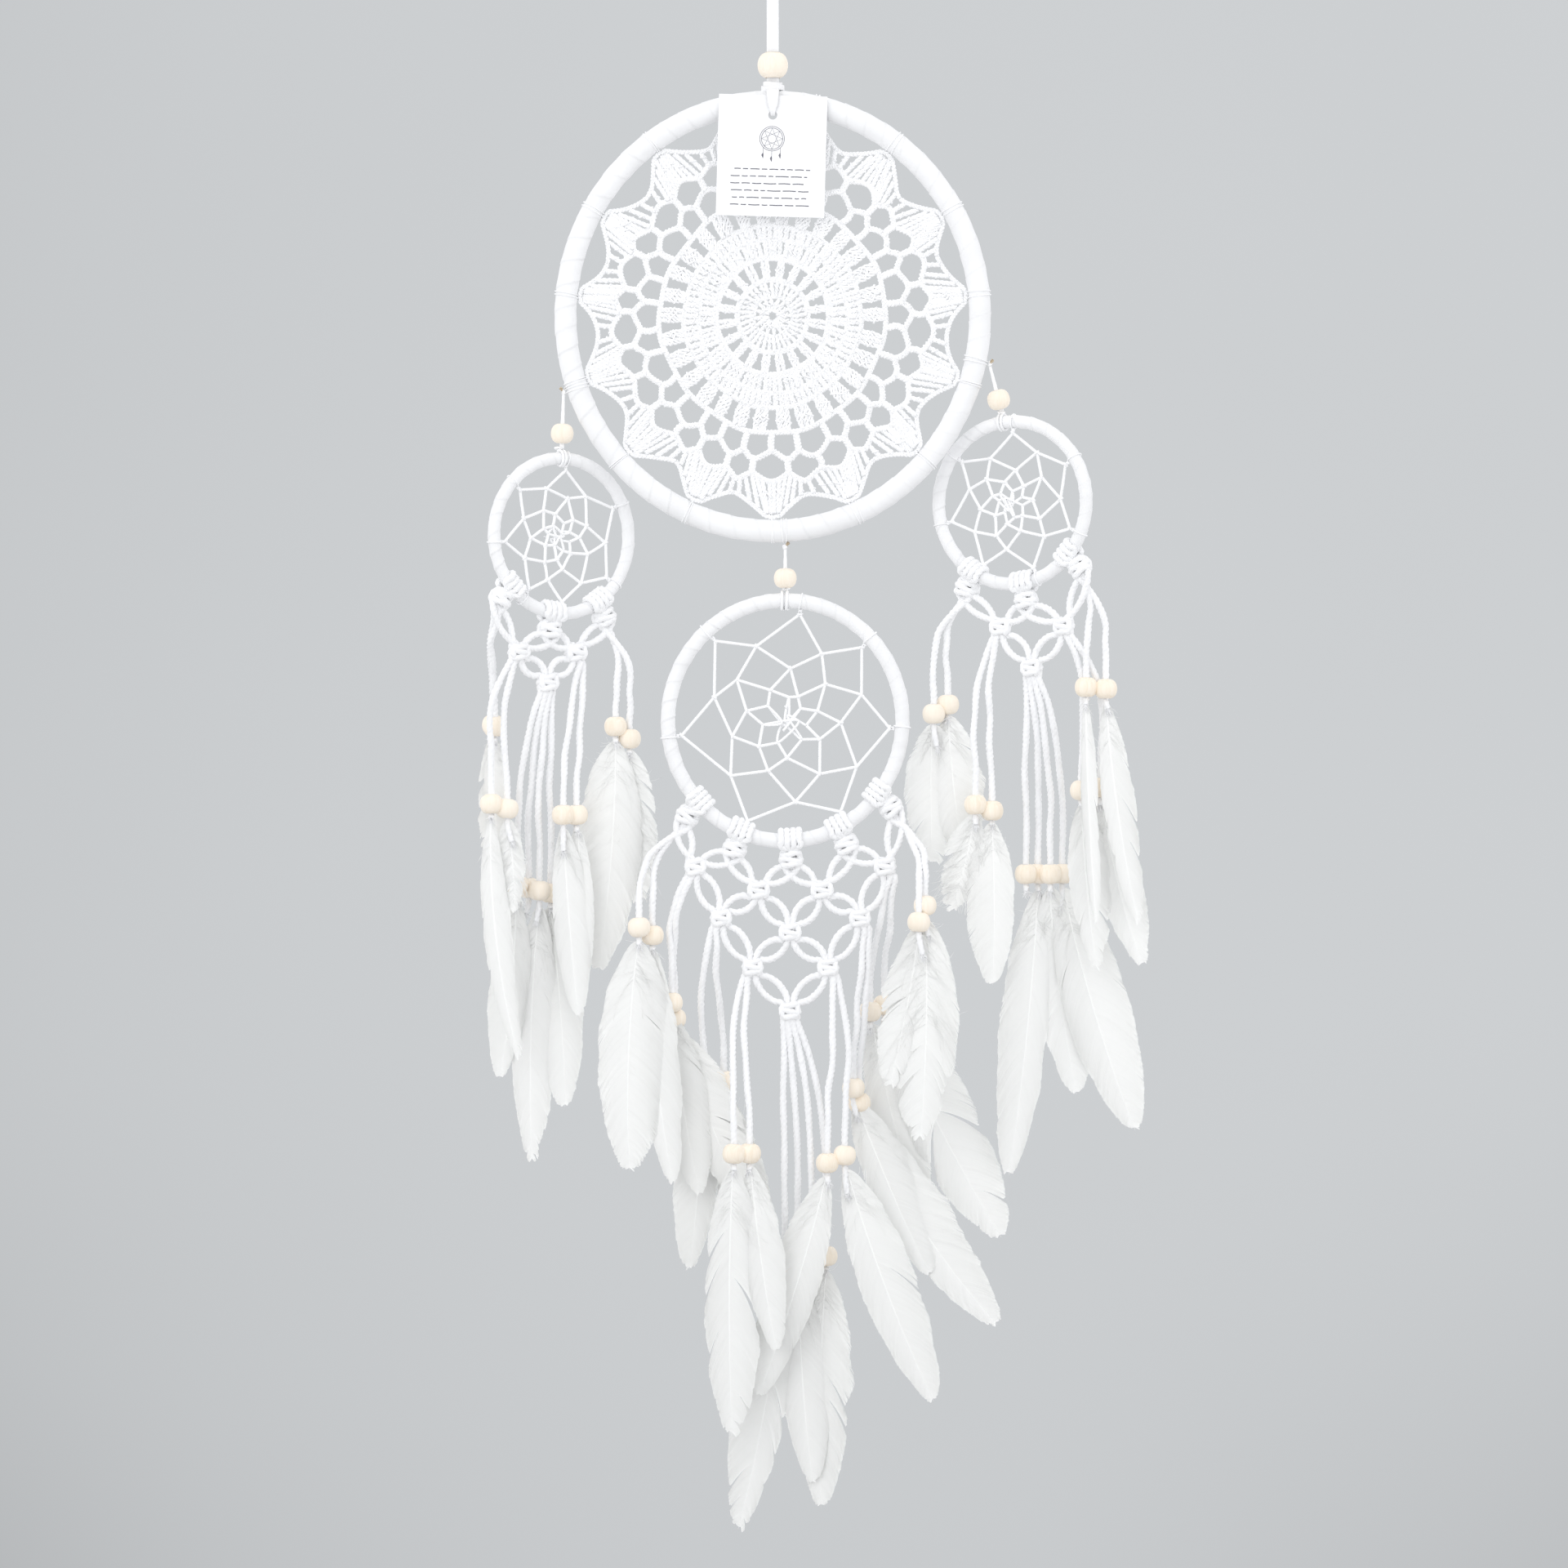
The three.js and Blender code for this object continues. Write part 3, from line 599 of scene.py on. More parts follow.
def mount_knot(pendant, index):
    """The knot under a mount. It hangs a little straighter down than the mount points."""
    down, _, rim = mount_axes(pendant, index)
    hang = unit(down - 0.6 * UP)
    centre = rim + 0.5 * (down + hang) * (pendant["wrap"] + 5.4)
    return Knot(centre, hang, np.cross(hang, turned((0, -1, 0), pendant["turn"])))


def net_rows(pendant):
    """Rows of knots: the mounts, and then one knot fewer in each row."""
    net, mounts = pendant["net"], pendant["mounts"]
    side = turned((1, 0, 0), pendant["turn"])
    rows = [[mount_knot(pendant, i) for i in range(mounts)]]
    for row in range(1, mounts):
        count = mounts - row
        pitch = net["pitch"] + net["spread"] * (row - 1)
        places = [(k - (count - 1) / 2) * pitch for k in range(count)]
        drops = [-net["drop"] - net["row"] * (row - 1) + net["lift"] * x * x for x in places]
        knots = [placed(pendant, (net["shift"] + x, 0, z)) for x, z in zip(places, drops)]
        rows.append([Knot(k, -UP, side) for k in knots])
    return rows


def group_centre(pendant, group):
    x, y, z = group["at"]
    return np.array([pendant["centre"][0] + x, y, pendant["centre"][1] + z])


def bead_places(pendant, group):
    sx, sy, sz = group["spread"]
    places = []
    for i in range(group["beads"]):
        along = i - (group["beads"] - 1) / 2
        depth = 0.5 if i % 2 else -0.5
        places.append(group_centre(pendant, group) + np.array([along * sx, depth * sy, along * sz]))
    return places


def lens_link(upper, lower, strand_out, strand_in, bow):
    """From one knot to the next: two strands that bow apart and meet again."""
    start, end = upper.at(strand_out, KNOT_HALF), lower.at(strand_in, -KNOT_HALF)
    way = end - start
    across = unit(np.cross(way, upper.front))
    return [
        start,
        start + way * 0.22 + across * bow * 0.72,
        start + way * 0.5 + across * bow,
        start + way * 0.78 + across * bow * 0.72,
        end,
    ]


def free_fall(start, down, bead, numbers, outward):
    """A strand that hangs from its knot to its bead, with the slight waves of a soft cord."""
    top = bead + UP * (BEAD["height"] / 2 + 5)
    drop = start[2] - top[2]
    points = [start, start + down * 2.5 + np.array([outward * 1.2, 0, 0])]
    for share in (0.16, 0.34, 0.52, 0.7, 0.86):
        ease = 1 - (1 - share) ** 2.6
        depth = share * share * (3 - 2 * share)
        x = start[0] + (top[0] - start[0]) * ease + outward * 4 * math.sin(math.pi * share) * (1 - share)
        y = start[1] + (top[1] - start[1]) * depth
        z = start[2] - drop * share
        wave = 0.9 * math.sin(math.pi * share)
        x += numbers.uniform(-wave, wave)
        y += numbers.uniform(-wave, wave) * 0.6
        points.append(np.array([x, y, z]))
    return [*points, top, bead + UP * (BEAD["height"] / 2 - 1), bead]


def strand_path(pendant, rows, index, strand, numbers):
    """A strand's points, from its mount down through the net to its bead, and the number of its group."""
    mounts = pendant["mounts"]
    row, place, pair, one = 0, index, strand // 2, strand % 2
    knot = rows[0][index]
    points = [knot.at(strand, -KNOT_HALF), knot.at(strand, 0)]
    while True:
        there = place - 1 if pair == 0 else place
        if row + 1 < mounts and 0 <= there < len(rows[row + 1]):
            lower = rows[row + 1][there]
            bow = LENS_BOW if one == 0 else -LENS_BOW
            came = 2 - 2 * pair + one
            points += lens_link(knot, lower, 2 * pair + one, came, bow)
            points.append(lower.at(came, 0))
            knot, row, place, pair = lower, row + 1, there, 1 - pair
            continue
        group = row if pair == 0 else 2 * (mounts - 1) - row
        beads = bead_places(pendant, pendant["groups"][group])
        number = one + (2 * pair if len(beads) == 4 else 0)
        start = knot.at(2 * pair + one, KNOT_HALF)
        last = row == mounts - 1
        outward = 0 if last else (-1 if pair == 0 else 1)
        points += free_fall(start, knot.down, beads[number], numbers, outward)
        return points, group


def lark_turn(pendant, index, strand):
    """A strand's turn over the hoop: up behind it, over it and down in front to its knot."""
    down, side, rim = mount_axes(pendant, index)
    front = np.cross(down, side)
    radius = pendant["wrap"] + 1.45
    offset = side * ((strand - 1.5) * LARK_GAUGE)
    turn = []
    for degrees in (-62, -95, -130, -165, 160, 125, 90, 58):
        angle = math.radians(degrees)
        turn.append(rim + offset + (down * math.cos(angle) + front * math.sin(angle)) * radius)
    return turn


def macrame_cords(pendant):
    """Each cord is folded over the hoop, and both its halves run down through the net to a bead."""
    rows = net_rows(pendant)
    name = pendant["name"]
    for index in range(pendant["mounts"]):
        down, side, rim = mount_axes(pendant, index)
        front = np.cross(down, side)
        for half in (0, 1):
            seed = 100 * PENDANTS.index(pendant) + 10 * index + half
            numbers = np.random.default_rng(seed)
            halves = []
            for strand in (2 * half, 2 * half + 1):
                points, group = strand_path(pendant, rows, index, strand, numbers)
                halves.append(lark_turn(pendant, index, strand) + points)
            middle = (2 * half - 1) * LARK_GAUGE
            radius = pendant["wrap"] + 1.8
            low = math.radians(-42)
            bight = rim + side * middle + (down * math.cos(low) + front * math.sin(low)) * radius
            line = curve([*halves[0][::-1], bight, *halves[1]], CORD_STEP)
            shape = Shape()
            thick = CORD / 2 * (1 + 0.05 * np.sin(np.arange(len(line)) * 0.19 + seed))
            shape.cord(line, thick, 0.26, (0.08, numbers))
            made = piece(f"{name}_cord_{2 * index + half + 1}", shape, COTTON_CORD, None)
            if index == 0 and half == 0:
                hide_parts(name + "_macrame")
            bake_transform(made)


for pendant in PENDANTS:
    macrame_cords(pendant)


# ---------------------------------------------------------------- knots


def knot_wrap(shape, knot, along, tilt, half_width, half_depth, numbers):
    """One turn of cord round a knot, tilted a little."""
    count = max(24, round(2 * math.pi * half_width / 0.8))
    angle = np.linspace(0, 2 * math.pi, count, endpoint=False)
    x = half_width * np.sign(np.cos(angle)) * np.abs(np.cos(angle)) ** 0.8
    y = half_depth * np.sin(angle)
    drop = along + x * math.tan(math.radians(tilt)) * np.sin(angle)
    line = knot.centre + x[:, None] * knot.side + y[:, None] * knot.front + drop[:, None] * knot.down
    shape.cord(line, 0.94 * CORD / 2, 0.22, (0.05, numbers), closed=True)


def knot_piece(name, knot, body, half_width, seed):
    """A square knot: three turns of cord, and a bump of cord down each side of them."""
    numbers = np.random.default_rng(seed)
    shape = Shape()
    for turn in range(3):
        along = (turn - 1) * KNOT_TURN + numbers.uniform(-0.3, 0.3)
        tilt = numbers.uniform(9, 17) * (1 if turn % 2 else -1)
        wide = half_width * (1 if turn % 2 else 0.86)
        knot_wrap(shape, knot, along, tilt, wide, 2.9 + numbers.uniform(-0.2, 0.5), numbers)
    for side in (-1, 1):
        reach = half_width + numbers.uniform(-0.5, 0.4)
        bump = []
        for inset, low, proud in ((1.6, -3.6, 1.4), (0.2, -1.6, 2.2), (0.1, 1.2, 2.3), (1.8, 3.4, 1.6)):
            sideways = knot.side * side * (reach - inset)
            bump.append(knot.centre + sideways + knot.down * low + knot.front * proud)
        shape.cord(curve(bump, CORD_STEP), 0.9 * CORD / 2, 0.22, (0.05, numbers))
    piece(name, shape, COTTON_CORD, body)


for pendant in PENDANTS:
    name = pendant["name"]
    number = 0
    for row, knots in enumerate(net_rows(pendant)):
        for knot in knots:
            number += 1
            seed = 7000 + 100 * PENDANTS.index(pendant) + number
            kind, wide = ("mount", 4.7) if row == 0 else ("net", 4.0)
            knot_piece(f"{name}_{kind}_knot_{number}", knot, name + "_pendant", wide, seed)

# ---------------------------------------------------------------- beads and tails


BEAD_EDGE = 74  # where, in degrees from its waist, a bead's side meets its flat ends
BEAD_WORN = 0.985  # a bead's height, of that of its CAD solid
BEAD_LIP = 0.45  # how far the bore's edge is rounded
FIBRES = 34  # loose ones at each strand's cut end


def bead_profile(size, steps=9):
    """A bead's outline: a flattened ball with a rounded bore."""
    radius, half, bore = size["radius"], size["height"] / 2, size["bore"]
    outer = []
    for i in range(steps + 1):
        angle = math.radians(-BEAD_EDGE + 2 * BEAD_EDGE * i / steps)
        height = half * math.sin(angle) / math.sin(math.radians(BEAD_EDGE)) * BEAD_WORN
        outer.append((radius * math.cos(angle) ** 0.62, height))
    end = half * BEAD_WORN
    top = [(bore + BEAD_LIP, end), (bore, end - BEAD_LIP)]
    bottom = [(bore, -end + BEAD_LIP), (bore + BEAD_LIP, -end)]
    return [*bottom, *outer, *top]


def tilted(degrees_x, degrees_y):
    ax, ay = math.radians(degrees_x), math.radians(degrees_y)
    about_x = np.array([[1, 0, 0], [0, math.cos(ax), -math.sin(ax)], [0, math.sin(ax), math.cos(ax)]])
    about_y = np.array([[math.cos(ay), 0, math.sin(ay)], [0, 1, 0], [-math.sin(ay), 0, math.cos(ay)]])
    return about_x @ about_y


def bead_piece(name, centre, size, rotation, body, replaces, tone):
    shape = Shape()
    shape.lathe(bead_profile(size), 40, rotation, centre, tone)
    piece(name, shape, WOOD, body, replaces)


def frayed(shape, end, down, numbers):
    """The loose fibres at a cord's cut end."""
    for _ in range(FIBRES):
        lean = unit(down * 1.6 + numbers.normal(0, 0.55, 3))
        start = end + numbers.normal(0, 0.45, 3)
        bend = numbers.normal(0, 0.5, 3)
        reach = numbers.uniform(1.4, 4.2)
        line = curve([start, start + lean * reach * 0.5 + bend * 0.3, start + lean * reach + bend], 0.6)
        shape.tube(line, np.linspace(0.24, 0.07, len(line)), 4)


for pendant in PENDANTS:
    for g, group in enumerate(pendant["groups"], 1):
        name = pendant["name"]
        body = f"{name}_ends_{g}"
        for i, place in enumerate(bead_places(pendant, group), 1):
            numbers = np.random.default_rng(3000 + 500 * PENDANTS.index(pendant) + 20 * g + i)
            rotation = tilted(numbers.uniform(-4, 4), numbers.uniform(-5, 5))
            replaces = (f"{name}_beads_{g}",) if i == 1 else ()
            tone = numbers.uniform(0.0, 0.55)
            bead_piece(f"{name}_bead_{g}_{i}", place, BEAD, rotation, body, replaces, tone)
            long = numbers.uniform(1, 4) if numbers.random() < 0.7 else numbers.uniform(6, 13)
            drift = numbers.uniform(-0.25, 0.25) * long
            front = np.array([0, -1.6, 0])
            points = [
                place - UP * 2,
                place - UP * 5.5,
                place - UP * (6 + long * 0.45) + front * 0.8 + np.array([drift * 0.3, 0, 0]),
                place - UP * (6 + long) + front + np.array([drift, 0, 0]),
            ]
            line = curve(points, CORD_STEP)
            tail = Shape()
            tail.cord(line, np.linspace(0.92, 0.84, len(line)) * CORD / 2, 0.28, (0.16, numbers))
            frayed(tail, line[-1], unit(line[-1] - line[-3]), numbers)
            piece(f"{name}_tail_{g}_{i}", tail, COTTON_CORD, body)

# ---------------------------------------------------------------- feathers

QUILL = 0.34  # the quill's radius at its bead
VANE_START = 0.03  # the share of a feather that is bare or downy
BARB_GAP = 0.42  # from one barb to the next along the quill
BARB_POINTS = 6  # along one barb
GAPS = {"vane": (1, 1.4), "torn": (3, 3.4), "split": (2, 5.0), "ragged": (4, 4.5), "down": (4, 2.5)}
BRUSH = {"torn": 7, "ragged": 5, "down": 4}  # how far the tip's clumps of barbs stand out
BRUSH_ELSE = 2.2
DOWN = {"down": (0.9, 200, 1.4), "ragged": (0.5, 130, 1.3)}  # up to where, how many barbs and how long
DOWN_ELSE = (0.2, 60, 1.1)


class Feather:
    """A feather drawn flat, as (across, along), and then bent along its quill."""

    def __init__(self, root, lean, length, width, bow, kind, layer, numbers):
        self.root, self.length, self.half = np.asarray(root, float), length, width / 2
        self.lean, self.bow, self.kind, self.numbers = lean, bow, kind, numbers
        count = 60
        share = np.linspace(0, 1, count)
        angle = np.radians(lean + bow * (share - 0.35) * 1.4)
        step = length / (count - 1)
        x = np.concatenate([[0], np.cumsum(np.sin(angle[:-1]) * step)])
        z = -np.concatenate([[0], np.cumsum(np.cos(angle[:-1]) * step)])
        settle = 1 - np.exp(-share * 7)
        y = (layer - self.root[1]) * settle + numbers.uniform(-1.2, 1.2) * share**2
        self.spine = self.root + np.column_stack([x, y, z])
        tangent = directions(self.spine)
        self.lateral = unit(np.cross(tangent, BACK))
        self.facing = unit(np.cross(self.lateral, tangent))
        turn = numbers.uniform(-9, 9) * np.sin(math.pi * share)
        self.turn = np.radians(turn if width > 18 else turn * 2.4)
        spans = ((0, 6.28), (2.0, 7.0), (0.3, 1.0))
        self.waves = [[numbers.uniform(*span) for span in spans] for _ in range(5)]
        self.splits = {-1: self.gaps(), 1: self.gaps()}

    def gaps(self):
        """Where the vane has come apart: (share of its length, how far, how wide a stretch is moved)."""
        count, most = GAPS[self.kind]
        draw = self.numbers.uniform
        return [(draw(0.16, 0.93), draw(0.3, 1) * most, draw(0.02, 0.07)) for _ in range(count)]

    def wave(self, share):
        return sum(size * np.sin(phase + rate * share * math.pi) for phase, rate, size in self.waves) / 3

    def outline(self, share, side):
        """Half the vane's width at a share of the feather's length."""
        s = np.clip((share - VANE_START * 0.7) / (1 - VANE_START * 0.7), 0.001, 0.999)
        full = np.sin(math.pi * s**0.93) ** (0.72 - 0.22 * s)
        lean_side = 1.0 + 0.14 * side * (1 if self.bow > 0 else -1)
        uneven = 1 + 0.07 * self.wave(share * 1.7 + side) + 0.03 * self.wave(share * 6 + side)
        return self.half * full * lean_side * uneven

    def bent(self, across, along, depth):
        """Points of the flat feather, at their places along the bent quill."""
        at = np.clip(along / self.length, 0, 1.02) * (len(self.spine) - 1)
        low = np.clip(at.astype(int), 0, len(self.spine) - 2)
        part = (at - low)[..., None]
        spine, lateral, facing = [
            rows[low] * (1 - part) + rows[low + 1] * part for rows in (self.spine, self.lateral, self.facing)
        ]
        turn = self.turn[low][..., None]
        sideways = lateral * np.cos(turn) + facing * np.sin(turn)
        outward = facing * np.cos(turn) - lateral * np.sin(turn)
        return spine + sideways * across[..., None] + outward * depth[..., None]

    def vane(self, shape, side):
        """One side's barbs, each a thin blade that leans on the next."""
        count = int(self.length * (0.98 - VANE_START) / BARB_GAP)
        numbers = self.numbers
        start = np.linspace(VANE_START, 0.985, count)
        root = start * self.length
        ahead = 0.03 + 0.15 * np.clip((start - VANE_START) / 0.3, 0, 1) ** 0.8
        end = np.minimum(start + ahead * (1 - start**4), 1)
        reach = self.outline(end, side)
        tip = end * self.length
        for place, size, wide in self.splits[side]:
            away = (start - place) / wide
            tip = tip + size * np.sign(away) * np.exp(-np.abs(away)) * (reach / self.half)
            reach = reach * (1 - 0.05 * size * np.exp(-np.abs(away)))
        clumps = np.repeat(numbers.random(count // 9 + 1), 9)[:count] - 0.6
        brush = BRUSH.get(self.kind, BRUSH_ELSE) * start**5
        tip = tip + numbers.normal(0, 0.12, count) + 0.7 * self.wave(start * 11 + side) + brush * clumps
        reach = np.maximum(reach * (1 + numbers.normal(0, 0.008, count)), 0.25)
        share = np.linspace(0, 1, BARB_POINTS)[None, :]
        root, tip, reach = root[:, None], tip[:, None], reach[:, None]
        middle_across, middle_along = 0.62 * reach, root + 0.36 * (tip - root)
        across = 2 * share * (1 - share) * middle_across + share**2 * reach
        along = (1 - share) ** 2 * root + 2 * share * (1 - share) * middle_along + share**2 * tip
        direction_across = 2 * (1 - share) * middle_across + 2 * share * (reach - middle_across)
        direction_along = 2 * (1 - share) * (middle_along - root) + 2 * share * (tip - middle_along)
        size = np.hypot(direction_across, direction_along)
        wide = BARB_GAP * 0.85 * (1 - 0.6 * share**5) * np.ones_like(root)
        off_across, off_along = -direction_along / size * wide, direction_across / size * wide
        cup = 0.012 * across**2 + 0.12 * self.wave(start * 2)[:, None] * across * 0.1
        tilt = 0.09 + 0.05 * numbers.random((count, 1))
        rows = []
        for edge in (-1, 1):
            sideways = side * (across + edge * off_across)
            rows.append(self.bent(sideways, along + edge * off_along, cup + edge * tilt))
        points = np.stack(rows, axis=2).reshape(-1, 3)
        faces = np.concatenate([strip(BARB_POINTS, 2, 2 * BARB_POINTS * i) for i in range(count)])
        # painted sheen: smooth waves along the vane, with a little random tone per barb, make lighter and
        # darker streaks of barbs
        painted_sheen_streak = 0.55 + 0.22 * self.wave(start * 8 - side) + numbers.normal(0, 0.12, count)
        shape.add(points, faces, np.repeat(np.clip(painted_sheen_streak, 0, 0.9), 2 * BARB_POINTS))

    def down(self, shape, last, count, most):
        """Soft loose barbs about the quill, up to a share most of the vane's width."""
        numbers = self.numbers
        for _ in range(count):
            place = numbers.uniform(VANE_START, last)
            side = numbers.choice([-1, 1])
            long = (1.5 + self.outline(place + 0.06, side)) * most * numbers.uniform(0.45, 1.1)
            lift = numbers.uniform(0.1, 1.5)
            depth = numbers.normal(0, 0.16)
            share = np.linspace(0, 1, 6)
            across = side * long * (share - 0.3 * share**2) + numbers.normal(0, 0.12) * long * share**2
            along = place * self.length + long * (lift * share + numbers.normal(0, 0.35) * share**2)
            depths = long * (depth * share + 0.2 * numbers.normal(0, 1) * share**2) * 0.5
            line = self.bent(across, np.clip(along, 0, self.length), depths)
            shape.tube(line, np.linspace(0.11, 0.05, 6), 3, shade=1)

    def quill(self, shape):
        share = np.linspace(0, 1, len(self.spine))
        radius = QUILL * (1 - share) ** 0.7 + 0.06
        line = self.spine + self.facing * 0.14
        shape.tube(line, radius, 8, shade=1)

    def made(self):
        shape = Shape()
        self.quill(shape)
        for side in (-1, 1):
            self.vane(shape, side)
        self.down(shape, *DOWN.get(self.kind, DOWN_ELSE))
        return shape


for pendant in PENDANTS:
    for g, group in enumerate(pendant["groups"], 1):
        name = pendant["name"]
        places = bead_places(pendant, group)
        for i, (bead, lean, length, width, bow, kind) in enumerate(group["feathers"], 1):
            numbers = np.random.default_rng(9000 + 900 * PENDANTS.index(pendant) + 30 * g + i)
            root = places[bead] - UP * (BEAD["height"] / 2 - 1.5)
            root = root + np.array([numbers.uniform(-0.5, 0.5), 0, 0])
            layer = group["at"][1] + (i - (len(group["feathers"]) + 1) / 2) * 1.5
            shape = Feather(root, lean, length, width, bow, kind, layer, numbers).made()
            replaces = (f"{name}_feathers_{g}",) if i == 1 else ()
            piece(f"{name}_feather_{g}_{i}", shape, FEATHER, f"{name}_ends_{g}", replaces)

# ---------------------------------------------------------------- hoops


MAIN_STRIP, SMALL_STRIP = 11.5, 8.5  # how wide the cloth strips are
CLOTH_STEP = 0.42  # from one row of the cloth's points to the next
CLOTH_SIDES = 22
LAYERS = 997  # more turns of the strip than any hoop has


def hoop_cloth(hoop, strip_width, pieces, body, seed):
    """A hoop wound with a cloth strip, whose overlapping edges show as slanting lines: a step in its
    surface, with painted shade along it.
    """
    numbers = np.random.default_rng(seed)
    ring, wrap = hoop["ring"], hoop["wrap"]
    length = 2 * math.pi * ring
    along_steps = round(length / CLOTH_STEP)
    turns = round(length / strip_width)
    u = np.linspace(0, 2 * math.pi, along_steps, endpoint=False)[:, None]
    v = np.linspace(0, 2 * math.pi, CLOTH_SIDES, endpoint=False)[None, :]
    wander = sum(0.16 / k * np.sin(k * 3 * u + numbers.uniform(0, 6.28)) for k in range(1, 5))
    phase = (turns * u + v) / (2 * math.pi) + wander
    part = phase - np.floor(phase)
    layer = np.floor(phase).astype(int) % LAYERS
    lift = np.random.default_rng(seed + 1).uniform(-0.1, 0.1, LAYERS)[layer]
    step = 0.24 * (1 - part) ** 3 + 0.05 * np.sin(part * 9 + layer)
    pucker = 0.05 * np.sin(7 * v + 3 * layer) * np.sin(math.pi * part)
    radius = wrap - 0.12 + step + 0.6 * lift + pucker
    # painted shade: a mask along both edges of each turn of the strip, where it steps over the turn below
    edge = np.exp(-((part / 0.045) ** 2)) + np.exp(-(((1 - part) / 0.03) ** 2))
    x = hoop["squash"] * (ring + radius * np.cos(v)) * np.sin(u)
    z = (ring + radius * np.cos(v)) * np.cos(u)
    y = radius * np.sin(v)
    points = placed(hoop, np.stack([x, y, z], axis=-1).reshape(-1, 3))
    shape = Shape()
    shape.add(points, quads(along_steps, CLOTH_SIDES, True), np.clip(edge, 0, 1).reshape(-1))
    made = piece(pieces + "_cloth", shape, WRAP_CLOTH, body, (pieces + "_wrap",))
    for label, values in (("along", part * strip_width), ("around", np.broadcast_to(v * wrap, part.shape))):
        attribute = made.data.attributes.new(label, "FLOAT", "POINT")
        attribute.data.foreach_set("value", values.reshape(-1).astype(np.float32))


hoop_cloth(MAIN_HOOP, MAIN_STRIP, "main_hoop", "root", 21)
for pendant in PENDANTS:
    name = pendant["name"]
    hoop_cloth(pendant, SMALL_STRIP, name + "_hoop", name + "_pendant", 31 + PENDANTS.index(pendant))
for core in ("main_hoop_core", "left_hoop_core", "centre_hoop_core", "right_hoop_core"):
    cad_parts[core].data.materials.clear()
    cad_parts[core].data.materials.append(WIRE)

# ---------------------------------------------------------------- webs and hanger threads

WEB_PULLS = (0.745, 0.68, 0.62, 0.6)  # how far in each round of the web is drawn, of the one before
HANGER_BEAD = {"share": 0.27, "bore": 1.4}  # how far up its thread it is, and its bore's radius


def hoop_point(hoop, radius, degrees):
    """A point of a hoop's own plane, at an angle clockwise from the top."""
    angle = math.radians(degrees)
    return np.array([hoop["squash"] * radius * math.sin(angle), 0, radius * math.cos(angle)])


def around_tube(hoop, degrees, radius, slip=0.0):
    """A thread's line once round a hoop's tube, at an angle clockwise from the top."""
    angle = math.radians(degrees)
    out = np.array([math.sin(angle), 0, math.cos(angle)])
    along = np.array([math.cos(angle), 0, -math.sin(angle)])
    centre = hoop_point(hoop, hoop["ring"], degrees)
    points = []
    for share in np.linspace(0, 1, 18):
        spin = 2 * math.pi * share
        away = (-out * math.cos(spin) - BACK * math.sin(spin)) * radius
        points.append(centre + away + along * slip * (share - 0.5))
    return placed(hoop, np.array(points))


def web_nodes(pendant, numbers):
    """The hitches of each round: the first on the hoop, and the others between two of the round before."""
    reach = pendant["ring"] - pendant["wrap"] - 2.6
    rounds = [[hoop_point(pendant, reach, degrees) for degrees in pendant["ties"]]]
    for step, share in enumerate(WEB_PULLS):
        before = rounds[-1]
        row = []
        for pair in zip(before, [*before[1:], before[0]]):
            pull = share * np.mean(np.linalg.norm(pair, axis=1))
            loose = numbers.normal(0, 0.035, 2) * reach * (1 if step < 2 else 0.6)
            row.append(unit((pair[0] + pair[1]) / 2) * pull + np.array([loose[0], 0, loose[1]]))
        rounds.append(row)
    return rounds


def hitch(shape, point, radius, numbers):
    """The small half hitch where one round of thread holds another."""
    axis = unit(numbers.normal(0, 1, 3) * np.array([1, 0.3, 1]))
    side = unit(np.cross(axis, BACK))
    angles = np.linspace(0, 2 * math.pi, 9)[:-1]
    line = [point + (side * math.cos(a) + BACK * math.sin(a)) * radius for a in angles]
    shape.tube(line, 0.42 * THREAD, 6, closed=True)


